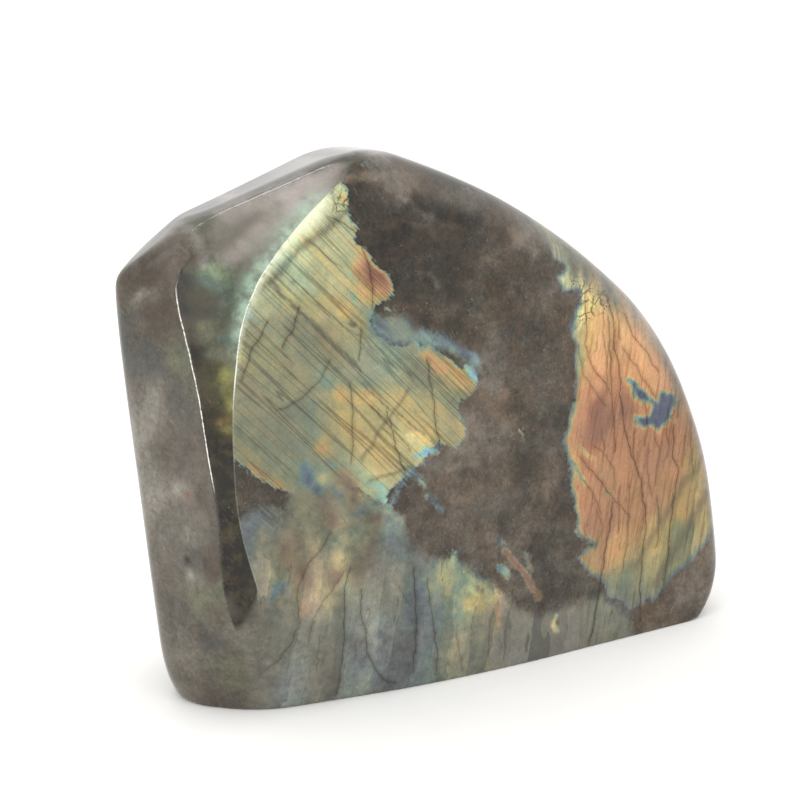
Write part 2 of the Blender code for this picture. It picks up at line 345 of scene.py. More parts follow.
            (-28.5, 35, 5.0, .62, .5, .9), (-25.5, 30.5, 7.2, .42, .8, 1.4),
            (-20, 34.5, 2.6, .54, .7, 2), (-50, 12, 5, .54, .9, 5),
            (-43, 5, 2.2, .64, .85, 3), (-36, 8, 4.9, .39, .85, 3), (-52, 20, 5.5, .56, .88, 4),
            (-58, 12, 5, .54, .9, 3), (-30, 10, 2.6, .6, .82, 3), (-24, 14, 2.6, .7, .82, 3),
            (-22, 20, 5, .64, .85, 3), (-20, 6, 2.4, .64, .85, 3), (-17, 16, 3.4, .61, .78, 2),
            (-13.5, 12, 2.8, .64, .75, 2), (-8, 8, 5, .64, .65, 2), (-5, 4, 5, .58, .8, 2),
            (0, 9, 5.2, .64, .6, 1.5), (3.5, 12, 8.0, .64, .4, 1.1), (8, 8, 5, .54, .88, 3),
            (14, 6, 5, .51, .88, 3), (22, 7, 5, .51, .88, 3), (30, 8, 4.4, .54, .8, 2.5),
            (37, 4, 4.2, .51, .8, 2.5), (-9, 24, 4.9, .76, .25, 1.3), (-6, 27, 3.8, .96, .3, .9),
            (-5.5, 20, 4.2, .68, .4, 1.3), (-8.5, 19, 5.4, .66, .35, 1), (-2.4, 20, 5, .96, .25, 1),
            (-3, 17, 6.4, .92, .15, .9), (0, 15.5, 7.0, .9, .15, 1.0), (1.6, 19, 5.2, .88, .2, .9),
            (2.6, 16, 5.8, .96, .2, .8), (-5, 14, 4, .77, .4, 1.2), (-12, 22, 4.6, .77, .45, 1),
            (-29.5, 28.8, 6.4, .38, .7, 1.5), (-42.8, 34.7, 6.4, .36, .7, 1.6),
            (-40.6, 41, 5.4, .5, .5, 1.6), (-32.3, 35, 4.6, .7, .4, .8),
            (-50.8, 43.4, 2.4, .46, .7, 1.6), (-47.9, 30.7, 4.4, .62, .4, 1.0),
            (-45, 27.5, 1.4, .5, .5, .7), (-36, 23.8, 5.2, .72, .35, 1),
            (-30.9, 25.1, 3.6, .72, .4, .8), (-22.8, 21.2, 5, .58, .85, 2),
            (-13.7, 19.4, 2.4, .6, .75, 1.1),
        ]),
    ],
    # path, half width, soft border, hue, brightness, haze
    "flecks": [
        ([(39.6, 56.6), (42, 54.4), (44.5, 52.4), (46.8, 50.4)], .3, .5, 3.4, .8, .3),
        ([(40.6, 49), (42.5, 47.4), (44.6, 47.6)], .4, .5, 3, .7, .2),
        ([(26, 44.6), (28, 42.6), (30, 41)], .25, .5, 3.8, .6, .3),
        ([(24, 41.2), (25.6, 38.8), (27.6, 36.2)], .3, .6, 3, .6, .4),
        ([(32.2, 34.2), (34.2, 32.2)], .15, .4, 3.4, .55, .3),
        ([(24.6, 26.4), (27, 23.6)], .3, .6, 2.6, .55, .4),
        ([(6.4, 25.4), (8.8, 22), (11.6, 18.6), (13.2, 16), (14.4, 14)], .8, 1.4, 9.0, .5, .25),
        ([(11.4, 24), (13, 20)], .5, 1.2, 5.4, .42, .6),
        ([(4.6, 22.4), (6.6, 20.6)], .7, 1.0, 2.4, .55, .25),
        ([(4.6, 29), (6, 27)], .5, 1.2, 2.4, .36, .6),
        ([(-14, 49.2), (-12, 49.9), (-9.8, 49.2)], .4, 1.6, 1.6, 1.1, .15),
        ([(-8.6, 50.8), (-9, 49)], .3, 1.5, .9, .7, .2),
        ([(-15, 46), (-13.4, 44.4), (-12.8, 43)], .5, 2.2, 1.7, .55, .5),
        ([(-12, 40.5), (-10.2, 38.6), (-8.5, 37)], .3, 1.5, .9, .6, .3),
        ([(-15.5, 46), (-18.5, 43), (-21, 39.6)], .3, 1.8, 1.0, .5, .35),
        ([(18.6, 9.6), (19.2, 8.6)], .4, .5, 4.2, 1.0, .2),
        ([(18.6, 8), (17.6, 7), (18.8, 5.6)], .4, .6, 5.8, 1.1, .2),
        ([(11.6, 50), (12.2, 48.6)], .3, .9, 3, .5, .5),
        ([(1.2, 101), (3.2, 99.8)], .3, .6, 3.2, .7, .3),
        ([(-22, 108.4), (-19.6, 107.4)], .8, 1.8, 1.4, .5, .85),
        ([(-19.6, 79.6), (-12.6, 73.6), (-8.6, 70.4)], .15, .5, 3.2, .5, .5),
    ],
    # pale and dark bands in the dark stone: path, half width, soft border, change of tone
    "bands": [
        ([(-28.3, 104.6), (-24.9, 105.2), (-21.4, 105.3), (-17.5, 105.1)], .3, .9, .35),
        ([(-17, 104), (-8.6, 101.3), (0, 98.5), (8.4, 95.4), (13.6, 90.9), (17.4, 86.8)], 1.2, 2.8, .2),
        ([(-12, 99.8), (-6.5, 97.6), (-1.9, 96.1), (2.7, 94.5)], .8, 1.6, -.3),
        ([(-24.3, 107.6), (-15.7, 106.6), (-7.7, 104.8), (-.4, 102.4), (4, 100.3)], .3, .9, -.4),
        ([(-15.3, 101.3), (-10, 97), (-7.4, 92.4)], .2, .8, .22),
        ([(-21.9, 94.8), (-16, 96), (-10, 94.6)], .2, .6, .16),
        ([(-11.2, 85.6), (-8.6, 84.8), (-7.4, 82.2)], .2, .7, .25),
        ([(5, 72), (-2, 76), (-12, 79)], .6, 2.4, .14),
        ([(-20, 36), (-8, 44), (-2, 52), (6, 60)], 1.0, 4.0, .12),
        ([(8, 30), (12, 44), (10, 56)], 1.0, 4.0, -.12),
        ([(20, 18), (16, 30), (19, 44)], .8, 3.0, .12),
    ],
    # name of the zone: width of the pale border inside it in mm, then its hue, brightness, haze
    "fringes": {"copper": (1.9, 2.1, .5, .72), "greenGold": (0.7, 3.0, .62, .4)},
    # outline, hue, brightness, haze
    "blueEye": ([(39.5, 56.5), (42, 54.5), (45, 52), (47, 50.5), (48.5, 53), (50, 51.5),
                 (52.5, 52), (51.5, 49), (49.5, 46.5), (47.5, 44.7), (45, 46), (42, 46.8),
                 (40.5, 47.5), (43, 48), (45, 49), (46, 50.5), (43.5, 51.5), (41, 53.5)],
                .7, .44, .5),
    "knots": [(27, 78), (30, 76), (33, 74.5), (28.5, 73), (-28.6, 101.5)],
    # path, half width, soft border, how dark
    "shades": [
        ([(60.5, 36.5), (54, 32), (49, 26), (44, 20), (40, 15.6)], .5, 1.3, .5),
        ([(61.5, 29), (57, 24.4), (53, 19.6), (49, 15), (45.6, 10.6)], .7, 1.4, .55),
        ([(-26.5, 99.2), (-36.6, 93.3), (-47.8, 85.6)], .4, .7, .6),
        ([(-15.4, 62.6), (-26.6, 50.4)], .2, .6, .5),
        ([(-25, 45.6), (-15, 46.8)], .2, .5, .5),
        ([(-33.6, 24), (-33.6, 12), (-33.8, 2)], .4, 1.2, .35),
        ([(-46.5, 89.2), (-36, 78.6), (-25.5, 67.6)], .15, .3, .75),
        ([(-40, 87.4), (-31, 79), (-22, 71)], .1, .3, .5),
        ([(-56, 62), (-47, 54.6), (-41, 49)], .1, .4, .4),
        ([(-26, 65.6), (-19, 59), (-12, 53)], .05, .3, .55),
        ([(-.8, 18.8), (.2, 17.8)], .4, .9, .6),
        ([(19, 7.4), (19.1, 6.4)], .15, .3, .8),
        ([(-27.2, 77.6), (-26.6, 77.2)], .5, .4, .8),
    ],
    # hair cracks: path and strength
    "cracks": [
        ([(-36.1, 101.4), (-33, 100.3), (-31.4, 98.6), (-28, 97), (-25.5, 94.8)], .9),
        ([(-30.1, 106.9), (-30.6, 104), (-29.8, 101.6), (-30.4, 99.6)], .9),
        ([(33.6, 74), (33.2, 68), (33.8, 61), (33.4, 55)], .7),
        ([(39.4, 71), (41, 66), (44.5, 62), (47.5, 57.5)], .8),
        ([(26.5, 66), (27.6, 60), (30.8, 55.4), (33.2, 52)], .6),
        ([(43.5, 51), (44.2, 46), (43.2, 42)], .8), ([(46.5, 47), (46.2, 43), (47.6, 40)], .7),
        ([(50, 49), (49.2, 45), (49.8, 41)], .8), ([(53, 50), (52.4, 47)], .8),
        ([(40.8, 46), (40.2, 41), (41.4, 36)], .8), ([(57, 46), (56, 40), (56.6, 34)], .7),
        ([(36.6, 34), (36, 30), (35.8, 24)], .8), ([(46.4, 30), (47, 24), (45.8, 19)], .8),
        ([(27, 37), (29.6, 33.4), (31, 29)], .7), ([(32, 47), (32.4, 42), (31.6, 38)], .6),
        ([(28.6, 76), (28.8, 71), (28.5, 66), (29.5, 61.5), (33, 57), (35, 54)], .8),
        ([(34.5, 71), (34.8, 60), (35, 52), (35.2, 45), (35.3, 42)], .8),
        ([(35.2, 75), (35.8, 68), (35.8, 64), (37, 60), (37.3, 52), (38.3, 45), (40, 40),
          (42, 35)], 1.0),
        ([(37.2, 73), (37.3, 66)], .7),
        ([(38, 64), (41, 60), (43.5, 56.5), (46.5, 52)], .7),
        ([(30, 44), (33, 41.5), (35, 38), (35, 34)], .6),
        ([(34.5, 31), (33.7, 27), (32.5, 22), (31.3, 17), (30, 11), (28.5, 5), (27, 1)], 1.0),
        ([(39, 34), (38.5, 27), (38.3, 22), (36.5, 15)], .7),
        ([(42.2, 35), (42.5, 30), (43.5, 25), (42.3, 19), (41.5, 13), (41, 3)], 1.0),
        ([(44.2, 41), (43.7, 36), (45, 31)], .7), ([(48, 42), (46.5, 37), (46, 33)], .6),
        ([(51.5, 45), (51, 38), (52.5, 35), (51, 29), (50, 24), (49, 15), (47, 8)], 1.0),
        ([(54.4, 42), (53.4, 36)], .7),
        ([(26, 42.5), (31, 36.5), (34, 32.5), (37, 29), (39, 27)], .8),
        ([(30, 30), (31.5, 26), (30, 22)], .5),
        ([(-25.5, 76), (-26.2, 70)], .8), ([(-28.5, 66), (-28.2, 60), (-29, 50)], .8),
        ([(-10.5, 68), (-9.5, 58), (-8.7, 50)], .9),
        ([(-20.5, 59), (-18.4, 50), (-17, 46)], .9),
        ([(-38.6, 82), (-40.4, 78), (-42.8, 74.6)], .9),
        ([(-45.6, 80), (-49, 75.6), (-51.8, 70)], .9),
        ([(-32.6, 71), (-35, 67.4), (-40, 64), (-44.6, 62.6)], .7),
        ([(-24.6, 93), (-23.2, 88.4), (-22.4, 84.6), (-22.6, 80)], .9),
        ([(-31, 107), (-30.5, 103.6), (-30, 101)], .7), ([(-37, 101), (-33.4, 100.2), (-30, 97)], .7),
        ([(-38, 96), (-34, 92.6), (-29, 88.6)], .6), ([(-36, 98.6), (-34, 98.2)], .9),
        ([(-24, 60.6), (-20, 55.4), (-15.6, 50.6)], .7),
        ([(-33, 1), (-32.6, 8), (-32.3, 14), (-32.2, 20), (-32, 26), (-30.5, 29)], .9),
        ([(-28.3, 24), (-28.6, 19), (-27.5, 15), (-27, 10), (-25, 6), (-23, 3), (-20, 2)], .8),
        ([(-15.8, 26), (-15.8, 20), (-16, 12), (-16.5, 4)], .9),
        ([(-13, 23), (-12.3, 18), (-12, 14), (-11.2, 8), (-11, 3)], .8),
        ([(-35, 36.5), (-37, 33.5), (-40, 31.5), (-42.5, 27), (-42.7, 24), (-42.3, 20),
          (-43.3, 16), (-46, 12), (-49, 9)], .7),
        ([(-32, 28.5), (-36, 24), (-39, 20), (-40, 15)], .6),
        ([(-6.5, 10), (-5.5, 5), (-5, 2)], .6), ([(3, 13), (1.5, 10), (1.5, 2)], .6),
        ([(8, 15), (6, 10), (5, 2)], .6), ([(-20, 23), (-17.6, 19)], .6),
    ],
    # tone of the dark stone between, 0 darkest: x, z, tone, reach
    "tones": [(-12, 90, .0, 7), (-20, 100, .3, 4), (-20, 106, .6, 2), (-6, 99, .35, 5),
              (4, 92, .2, 5), (3, 80, .3, 5), (14, 82, .35, 5), (14, 93, .6, 2), (18, 70, .35, 5),
              (12, 58, .45, 6), (0, 48, .6, 5), (16, 40, .35, 6), (4, 34, .5, 5), (16, 25, .2, 4),
              (-4, 42, .4, 4), (-14, 38, .25, 4), (-31, 43, .2, 3), (-48, 46, .25, 3),
              (50, 9, .5, 4), (60, 12, .5, 4), (20, 60, .45, 3), (-18, 76, .4, 2),
              (-4, 86, .1, 3), (8, 74, .2, 3), (6, 66, .5, 3), (20, 78, .4, 3), (8, 52, .7, 3),
              (-6, 40, .6, 3), (10, 30, .6, 3), (18, 50, .3, 3), (20, 33, .25, 3), (2, 98, .6, 3),
              (14, 90, .65, 3), (-14, 104, .65, 3)],
}

# the far face has its own, plainer flash: two zones, blue-green and gold
backMarks = {
    "zones": {
        "tealSweep": ([(-41, 22), (-34, 33), (-36, 40), (-31, 48), (-35, 57), (-31, 66), (-33, 73),
                       (-25, 80), (-16, 83), (-12, 89), (-3, 86), (2, 80), (9, 78), (5, 71),
                       (7, 64), (-1, 60), (-7, 61), (-11, 53), (-8, 46), (-13, 40), (-5, 33),
                       (-9, 26), (-17, 24), (-20, 17), (-29, 18), (-34, 12)], .8),
        "goldCorner": ([(21, 64), (28, 69), (31, 76), (40, 73), (46, 68), (54, 57), (60, 42),
                        (61, 25), (55, 14), (47, 17), (41, 14), (38, 25), (32, 29), (33, 37),
                        (25, 41), (27, 49), (21, 54)], 1.0),
        "smoke": ([(-13, 40), (-2, 34), (6, 40), (10, 52), (5, 62), (-4, 62), (-10, 54)], 3.0),
        "paleFoot": ([(-70, 16), (-40, 10), (-10, 14), (14, 9), (40, 10), (70, 4), (70, -9),
                      (-70, -9)], 6.0),
    },
    "spots": [
        (-46, [(-38, 24, 2.6, .5, .5, 4), (-30, 40, 3.4, .6, .4, 4), (-26, 56, 4.2, .7, .3, 4),
               (-24, 70, 4.8, .75, .25, 4), (-12, 80, 5.4, .8, .2, 3), (0, 76, 3.6, .6, .3, 3),
               (-14, 62, 5.0, .7, .25, 3), (-20, 30, 3.0, .55, .45, 4), (-10, 28, 1.9, .45, .4, 3)]),
        (78, [(30, 64, 5.6, .6, .4, 3), (40, 66, 6.4, .75, .3, 3), (50, 52, 7.2, .85, .15, 4),
              (40, 48, 7.8, .8, .15, 4), (32, 44, 6.6, .7, .25, 3), (48, 30, 8.2, .75, .15, 4),
              (56, 34, 7.0, .7, .3, 3), (46, 18, 5.2, .55, .4, 3), (-50, 6, 4, .4, .9, 5),
              (0, 6, 4.4, .4, .9, 5), (40, 4, 4.6, .4, .9, 5), (-2, 48, 3.2, .4, .85, 3)]),
    ],
    "fringes": {"tealSweep": (.9, 1.6, .6, .4), "goldCorner": (1.4, 2.4, .5, .5)},
    "flecks": [([(10, 50), (13, 46)], .4, 1.0, 2.4, .5, .4),
               ([(-46, 44), (-44, 40)], .5, 1.2, 5, .4, .6),
               ([(14, 84), (17, 82)], .3, .8, 3, .5, .4), ([(14, 34), (17, 28)], .6, 1.2, 8, .4, .4),
               ([(-22, 92), (-18, 90)], .4, .8, 4, .5, .4)],
    "bands": [],
    "shades": [([(-34, 66), (-20, 54), (-8, 44)], .2, .5, .5),
               ([(26, 60), (44, 40), (56, 26)], .4, 1.0, .4),
               ([(-38, 50), (-22, 34), (-12, 25)], .15, .4, .5)],
    "cracks": [([(-24, 84), (-22, 66), (-25, 48), (-23, 30)], .9),
               ([(-30, 60), (-20, 56), (-8, 57)], .6), ([(-12, 82), (-10, 70), (-13, 60)], .7),
               ([(-33, 44), (-31, 30), (-33, 18), (-31, 4)], .8),
               ([(36, 74), (38, 58), (36, 40), (39, 22)], 1.0), ([(48, 64), (49, 46), (52, 28)], .8),
               ([(30, 66), (29, 52), (31, 42)], .7), ([(43, 70), (44, 56), (42, 44)], .7),
               ([(8, 96), (12, 72), (9, 50), (14, 26), (12, 6)], .8),
               ([(-50, 52), (-44, 30), (-46, 8)], .7)],
    "tones": [(0, 95, .2, 6), (14, 60, .35, 7), (14, 30, .5, 6), (-48, 60, .4, 6), (-50, 20, .5, 5),
              (60, 60, .4, 5), (-20, 100, .5, 4), (0, 10, .4, 5), (16, 84, .6, 4), (-40, 30, .2, 4),
              (22, 20, .3, 4)],
}

# The narrow faces show cloudy stone instead: at places across their width, a tone by name.
sideMarks = {
    "palette": {"greige": "#656056", "fog": "#79746a", "slate": "#494842", "umber": "#453c31",
                "tan": "#8a745a", "moss": "#5c5c4a", "ink": "#1b1911", "soot": "#100f0a",
                "olive": "#36331f", "sage": "#6d7c5e", "teal": "#485a50", "gilt": "#6b5a2e",
                "lime": "#7c7a44", "rosy": "#948a85", "cocoa": "#564f46", "rust": "#6b4a3d",
                "pearl": "#b5aca6"},
    # (y, z, tone, reach)
    "left": [(3, 86, "umber", 3), (2, 84, "fog", 1.6), (0.6, 78, "cocoa", 1.1), (-2, 80, "umber", 2),
             (5, 78, "slate", 2), (-5, 81, "umber", 2), (-6.7, 94.5, "cocoa", 1.6),
             (-3, 92, "cocoa", 2), (-9, 88, "umber", 2), (-2.5, 72, "slate", 3), (3, 71, "slate", 2),
             (-8, 73, "moss", 2), (-3, 64, "fog", 2), (-1.8, 60.4, "fog", .9),
             (-8, 64, "slate", 2), (-5, 54, "cocoa", 3), (-3, 52.6, "slate", .9),
             (-9, 53, "slate", 1.0), (-12, 57, "cocoa", 2), (-7.5, 46.5, "fog", 1.5),
             (-8.9, 45.5, "rust", .7), (-13, 46, "cocoa", 2), (-5, 40, "greige", 3),
             (-10, 38, "fog", 1.2), (-12, 34, "slate", 1.8), (-8.7, 32.6, "ink", .8),
             (-9.6, 30.4, "fog", .9), (-4, 30, "cocoa", 2.4), (-15, 34, "umber", 2),
             (-6, 22, "cocoa", 2), (-10, 25, "moss", 2), (-17, 28, "moss", 1.4),
             (-16.7, 17.5, "greige", 1.6), (-12.5, 16, "slate", 1.4), (-8, 14, "greige", 2),
             (-8.8, 12.2, "slate", .8), (-16, 9, "moss", 2.4), (-19.2, 11.5, "slate", .9),
             (2, 56, "fog", 3), (0, 44, "fog", 3), (-19, 48, "umber", 1.4), (-20, 38, "ink", 1.2),
             (-20, 30, "umber", 1.2), (-9, 4, "cocoa", 2)],
    # (x, z, tone, reach)
    # The chamfer's near-black tones (ink, soot) are partly painted shade, for the dark reflection along it.
    "chamfer": [(-59, 86.5, "ink", 1.4), (-56, 84, "olive", 1.5), (-60.6, 82, "umber", 1.2),
                (-54, 84, "teal", .8), (-53.6, 88, "teal", .9), (-53, 90, "sage", 1.0),
                (-56.6, 79, "moss", 1.2), (-59.6, 74, "ink", 1.5), (-54.2, 77, "teal", .7),
                (-57.6, 79.4, "gilt", .4), (-58.6, 82.4, "ink", 1.5), (-54.9, 74, "moss", .9),
                (-57, 71, "olive", 1.3),
                (-54.6, 69.6, "lime", .9), (-54.4, 65.6, "lime", .8), (-56.6, 66, "olive", 1.1),
                (-56, 62.4, "gilt", .8), (-54.9, 60.2, "lime", .7), (-58.6, 63, "ink", 1.6),
                (-57.6, 57, "soot", 2), (-57, 50, "ink", 2), (-56.4, 44, "soot", 1.6),
                (-55.4, 40, "olive", .8), (-57, 36, "ink", 2), (-54.6, 33, "ink", 1),
                (-56, 29, "soot", 1.6), (-54, 26.6, "ink", 1.4), (-53, 28.6, "olive", .6),
                (-60.4, 66, "umber", 1), (-59, 50, "umber", .8), (-54.4, 22.6, "soot", 1.1),
                (-57.4, 53.4, "olive", .5), (-56.6, 47, "olive", .5), (-57.8, 43.6, "umber", .4),
                (-56.2, 38, "umber", .4), (-57.2, 33.4, "olive", .4), (-55, 35.4, "umber", .4),
                (-55.6, 30.6, "umber", .4), (-56.8, 59.6, "olive", .5), (-58.6, 56, "umber", .4),
                (-57.6, 24, "slate", 1.6), (-56, 91.6, "umber", 1.2), (-52, 18, "greige", 2)],
    "bevel": [(-62, 90, "umber", 2), (-58.6, 94, "cocoa", 1.1), (-56.5, 95.6, "cocoa", 1.6),
              (-53, 93, "greige", 2), (-49, 96.4, "greige", 2), (-46, 99, "greige", 2),
              (-45, 97.2, "fog", 1.2), (-48.4, 94.4, "fog", .9), (-42, 101, "fog", 2),
              (-38, 103.6, "rosy", 1.6), (-34, 106, "rosy", 2), (-44, 103.4, "greige", 2),
              (-36, 108, "fog", 1.8), (-52, 100, "greige", 2), (-28, 107.6, "rosy", 2),
              (-52.4, 91, "moss", 1), (-46.6, 94.6, "moss", .8), (-40.6, 98.8, "moss", .8),
              (-35.6, 103, "moss", .7)],
    # the rosy tone on the roof is a painted highlight
    "roof": [(-62, 92, "greige", 3), (-50, 99, "cocoa", 3), (-40, 105, "cocoa", 3),
             (-28, 109, "greige", 3), (-45, 104, "rosy", 2), (-33, 108, "slate", 1.4)],
    "rim": [(-10, 108, "cocoa", 3), (-18, 108.6, "rosy", 1.6), (0, 105, "slate", 3),
            (12, 99, "cocoa", 3), (24, 92, "greige", 3), (36, 84, "greige", 3),
            (48, 70, "fog", 3), (56, 55, "greige", 3), (62, 38, "fog", 3), (66, 20, "greige", 3),
            (66, 6, "cocoa", 3), (6, 102, "umber", 1.5), (30, 88, "moss", 2), (58, 46, "tan", 2)],
    # painted highlights, pale streaks for soft gloss on the bevel and left edge: path by x and z, half width,
    # soft border, strength
    "paintedSheens": [
        ([(-51.6, 91.6), (-46.6, 94.9), (-41, 98.5), (-36, 102)], .5, 1.8, .3),
        ([(-54.3, 96.8), (-54.6, 93.4), (-54.7, 90.5)], .1, 1.2, .2),
        ([(-49, 99.4), (-41, 102.4), (-33, 105.8)], .4, 2.2, .25),
    ],
    "rimVeil": .85,     # how far the tone of the rim covers the front's layers there
}

# how outlines and patches waver: size and reach in mm, and a seed
growth = {"outlines": (3.4, 0.7, 1.0), "flash": (4.5, 1.5, 2.0), "cracks": (2.6, 0.45, 3.0),
          "sides": (5.0, 1.6, 4.0)}
noiseStart = 7
noise.seed_set(noiseStart)     # left alone, this noise starts from the clock and no two runs match

# Where things come and go over the stone, in mm: from where there is none of it to where there
# is all of it.
spans = {
    # from front to back
    "parting": 2.0,             # the plane between the front's markings and the back's
    "ahead": (4.0, -1.0),
    "behind": (2, 8),
    "chamferAhead": (8, 3),
    "rimCovered": (-9, -3),     # the rim's own tone covers the front's layers here
    # from below to above
    "bevelRise": (86, 93),      # the chamfer gives way to the bevel
    "foot": (29, 20),           # below the chamfer the two faces run into each other
    # painted shade low in the chamfer
    "paintedChamferShade": (68, 56),
    "ridgeRise": (97, 100.5),
    "high": (70, 92),
    "top": (91, 99),
    # painted highlight in front of the crisp edge
    "glowRise": (58, 80),
    "edgeGlowRise": (68, 78),
    # painted highlights along the crisp edges, as thin pale lines
    "frontHighlightRise": (62, 71),
    "frontHighlightFoot": (22, 27),
    "frontHighlightFade": (89, 96),
    "frontHighlightTop": (106, 99),
    "leftHighlightFoot": (47, 52),
    "leftHighlightTop": (88, 83),
    "twinRise": (38, 44),
    "uprightDrop": (42, 30),
    "blockDrop": (47, 40),
    "grainDrop": (74, 66),
    # from left to right
    "rim": (-26, -18),
    "rimTone": (-24, -14),
    "ridgeRight": (-26, -32),
    "ridgeLeft": (-56, -50),
    "glowLeft": (-28, -34),
    "edgeGlowLeft": (-28, -36),
    "twinLeft": (17, 13),
    "uprightRight": (17, 21),
    "blockLeft": (12, 4),
    "grainRight": (22, 27),
    # depth below the last cuts, where they still count as the surface
    "cut": (-2.6, -1.2),
}


def insideDistance(points, outline):
    # mm inside the outline, below zero outside it
    corners = np.array(outline, float)
    nearest = np.full(len(points), 1e9)
    inside = np.zeros(len(points), bool)
    for start, end in zip(corners, np.roll(corners, -1, axis=0)):
        side = end - start
        share = np.clip((points - start) @ side / (side @ side), 0, 1)
        gap = np.linalg.norm(points - start - share[:, None] * side, axis=1)
        nearest = np.minimum(nearest, gap)
        crosses = (start[1] > points[:, 1]) != (end[1] > points[:, 1])
        rise = side[1] if side[1] else 1e-9
        inside ^= crosses & (points[:, 0] < start[0] + (points[:, 1] - start[1]) * side[0] / rise)
    return np.where(inside, nearest, -nearest)


def besidePath(points, path):
    # signed distance to a path, its side given by the sign, and how far past its ends a point is
    path = np.array(path, float)
    best = np.full(len(points), 1e9)
    side = np.zeros(len(points))
    past = np.zeros(len(points))
    last = len(path) - 2
    for i, (start, end) in enumerate(zip(path[:-1], path[1:])):
        step = end - start
        length = np.linalg.norm(step)
        run = (points - start) @ step / length
        off = ((points - start) @ np.array([-step[1], step[0]])) / length
        gap = np.hypot(off, np.maximum(np.maximum(-run, run - length), 0))
        closer = gap < best
        best = np.where(closer, gap, best)
        side = np.where(closer, np.where(off < 0, -1.0, 1.0) * gap, side)
        over = np.maximum(-run, 0) if i == 0 else 0
        over = over + (np.maximum(run - length, 0) if i == last else 0)
        past = np.where(closer, over, past)
    return side, past


def wavering(points, size, reach, seed):
    # shifts places by smooth noise, so that outlines and patches look grown, not ruled
    shift = [noise.noise_vector((x / size, seed, z / size))[:2] for x, z in points]
    fine = [noise.noise_vector((x / size * 3.1, seed + 5, z / size * 3.1))[:2] for x, z in points]
    return points + (np.array(shift) + np.array(fine) * 0.35) * reach


def turned(points, angle):
    # places measured along and across a direction, in degrees from level
    turn = math.radians(angle)
    along = np.array([math.cos(turn), math.sin(turn)])
    return np.stack([points @ along, points @ np.array([-along[1], along[0]])], 1)


def blend(gaps, reaches, values):
    # the nearest spots count most
    weights = (np.array(reaches) / (np.array(gaps).T + 0.4)) ** 3.5
    return (weights @ np.array(values)) / weights.sum(1)[:, None]


def layerBlend(points, groups):
    # hue, brightness and haze: each spot is drawn out along the layers of its zone
    gaps, reaches, values = [], [], []
    for angle, spots in groups:
        places = turned(points, angle)
        for x, z, hue, bright, haze, reach in spots:
            away = places - turned(np.array([[x, z]]), angle)
            gaps.append(np.hypot(away[:, 0] * 0.62, away[:, 1] * 1.15))
            reaches.append(reach)
            values.append((hue, bright, haze))
    return blend(gaps, reaches, values).T


def paintMarks(marks, flat):
    placed = wavering(flat, *growth["outlines"])
    flash = layerBlend(wavering(flat, *growth["flash"]), marks["spots"])

    def turnFlash(share, target):
        flash[:] += (np.array(target)[:, None] - flash) * share

    edge = np.full(len(flat), -9.0)
    soft = np.full(len(flat), 0.5)
    for outline, border in marks["zones"].values():
        inside = insideDistance(placed, outline)
        higher = inside / border > edge / soft
        soft = np.where(higher, border, soft)
        edge = np.where(higher, inside, edge)
    for name, (width, *target) in marks["fringes"].items():
        inside = insideDistance(placed, marks["zones"][name][0])
        share = ease(inside, width, width * 0.3) * ease(inside, -1.2, -0.6)
        if "smokeLow" in marks["zones"]:     # no such border where the zones fade into each other
            share *= ease(insideDistance(placed, marks["zones"]["smokeLow"][0]), 0.5, -1.5)
        turnFlash(share, target)
    for path, width, border, *target in marks["flecks"]:
        side, past = besidePath(placed, path)
        inside = width + border / 2 - np.abs(side)
        turnFlash(ease(inside, 0.0, border), target)
        soft = np.where((inside > edge) & (inside > -0.6), border, soft)
        edge = np.maximum(edge, inside)
    if "blueEye" in marks:
        outline, *target = marks["blueEye"]
        broken = [noise.noise_vector((u / 1.1, 8.0, v / 2.6))[0] for u, v in flat]
        inside = insideDistance(placed, outline) + np.array(broken) * 0.9
        turnFlash(ease(inside, -0.9, 0.6), target)
    shade = np.zeros(len(flat))
    for path, width, border, dark in marks["shades"]:
        side, past = besidePath(placed, path)
        shade = np.maximum(shade, dark * ease(np.abs(side), width + border, width * 0.5))
    gaps = [np.hypot(*(placed - (u, v)).T) for u, v, tone, reach in marks["tones"]]
    tone = blend(gaps, [spot[3] for spot in marks["tones"]],
                 [spot[2:3] for spot in marks["tones"]])[:, 0]
    for path, width, border, change in marks["bands"]:
        side, past = besidePath(placed, path)
        tone += change * ease(np.abs(side), width + border, width) * ease(past, 3.0, 0.0)
    return {"edge": edge, "soft": soft, "hue": flash[0], "bright": flash[1], "haze": flash[2],
            "shade": shade, "tone": tone}


def crackLayers(marks, flat, onThisSide, layers):
    # cracks far enough apart share a layer of signed distances, so that each stays a thin line
    placed = wavering(flat, *growth["cracks"])
    for path, strength in marks["cracks"]:
        side, past = besidePath(placed, path)
        near = ease(np.abs(side), 1.5, 0.8) * ease(past, 0.9, 0.0) * strength * onThisSide
        for layer in layers:
            if not (np.minimum(layer["near"], near) > 0).any():
                break
        else:
            layer = {"side": np.full(len(flat), 3.0), "near": np.zeros(len(flat))}
            layers.append(layer)
        layer["side"] = np.where(near > 0, side, layer["side"])
        layer["near"] = np.maximum(layer["near"], near)
    return layers


def linear(hexColour):
    channels = [int(hexColour[i:i + 2], 16) / 255 for i in (1, 3, 5)]
    return tuple(c / 12.92 if c <= 0.04045 else ((c + 0.055) / 1.055) ** 2.4
                 for c in channels) + (1.0,)


def tonesOn(name, points):
    # the cloudy tones of one narrow face
    placed = wavering(points, *growth["sides"])
    spots = sideMarks[name]
    gaps = [np.hypot(*(placed - (u, v)).T) for u, v, tone, reach in spots]
    colours = [linear(sideMarks["palette"][tone])[:3] for u, v, tone, reach in spots]
    return blend(gaps, [spot[3] for spot in spots], colours)


def outermost(points, names, border):
    # one where these faces are the outermost, falling off over the given mm beyond their edges
    own = lapped(points, [face for name in names for face in stone[name]])
    return ease(own, -border, 0.0)


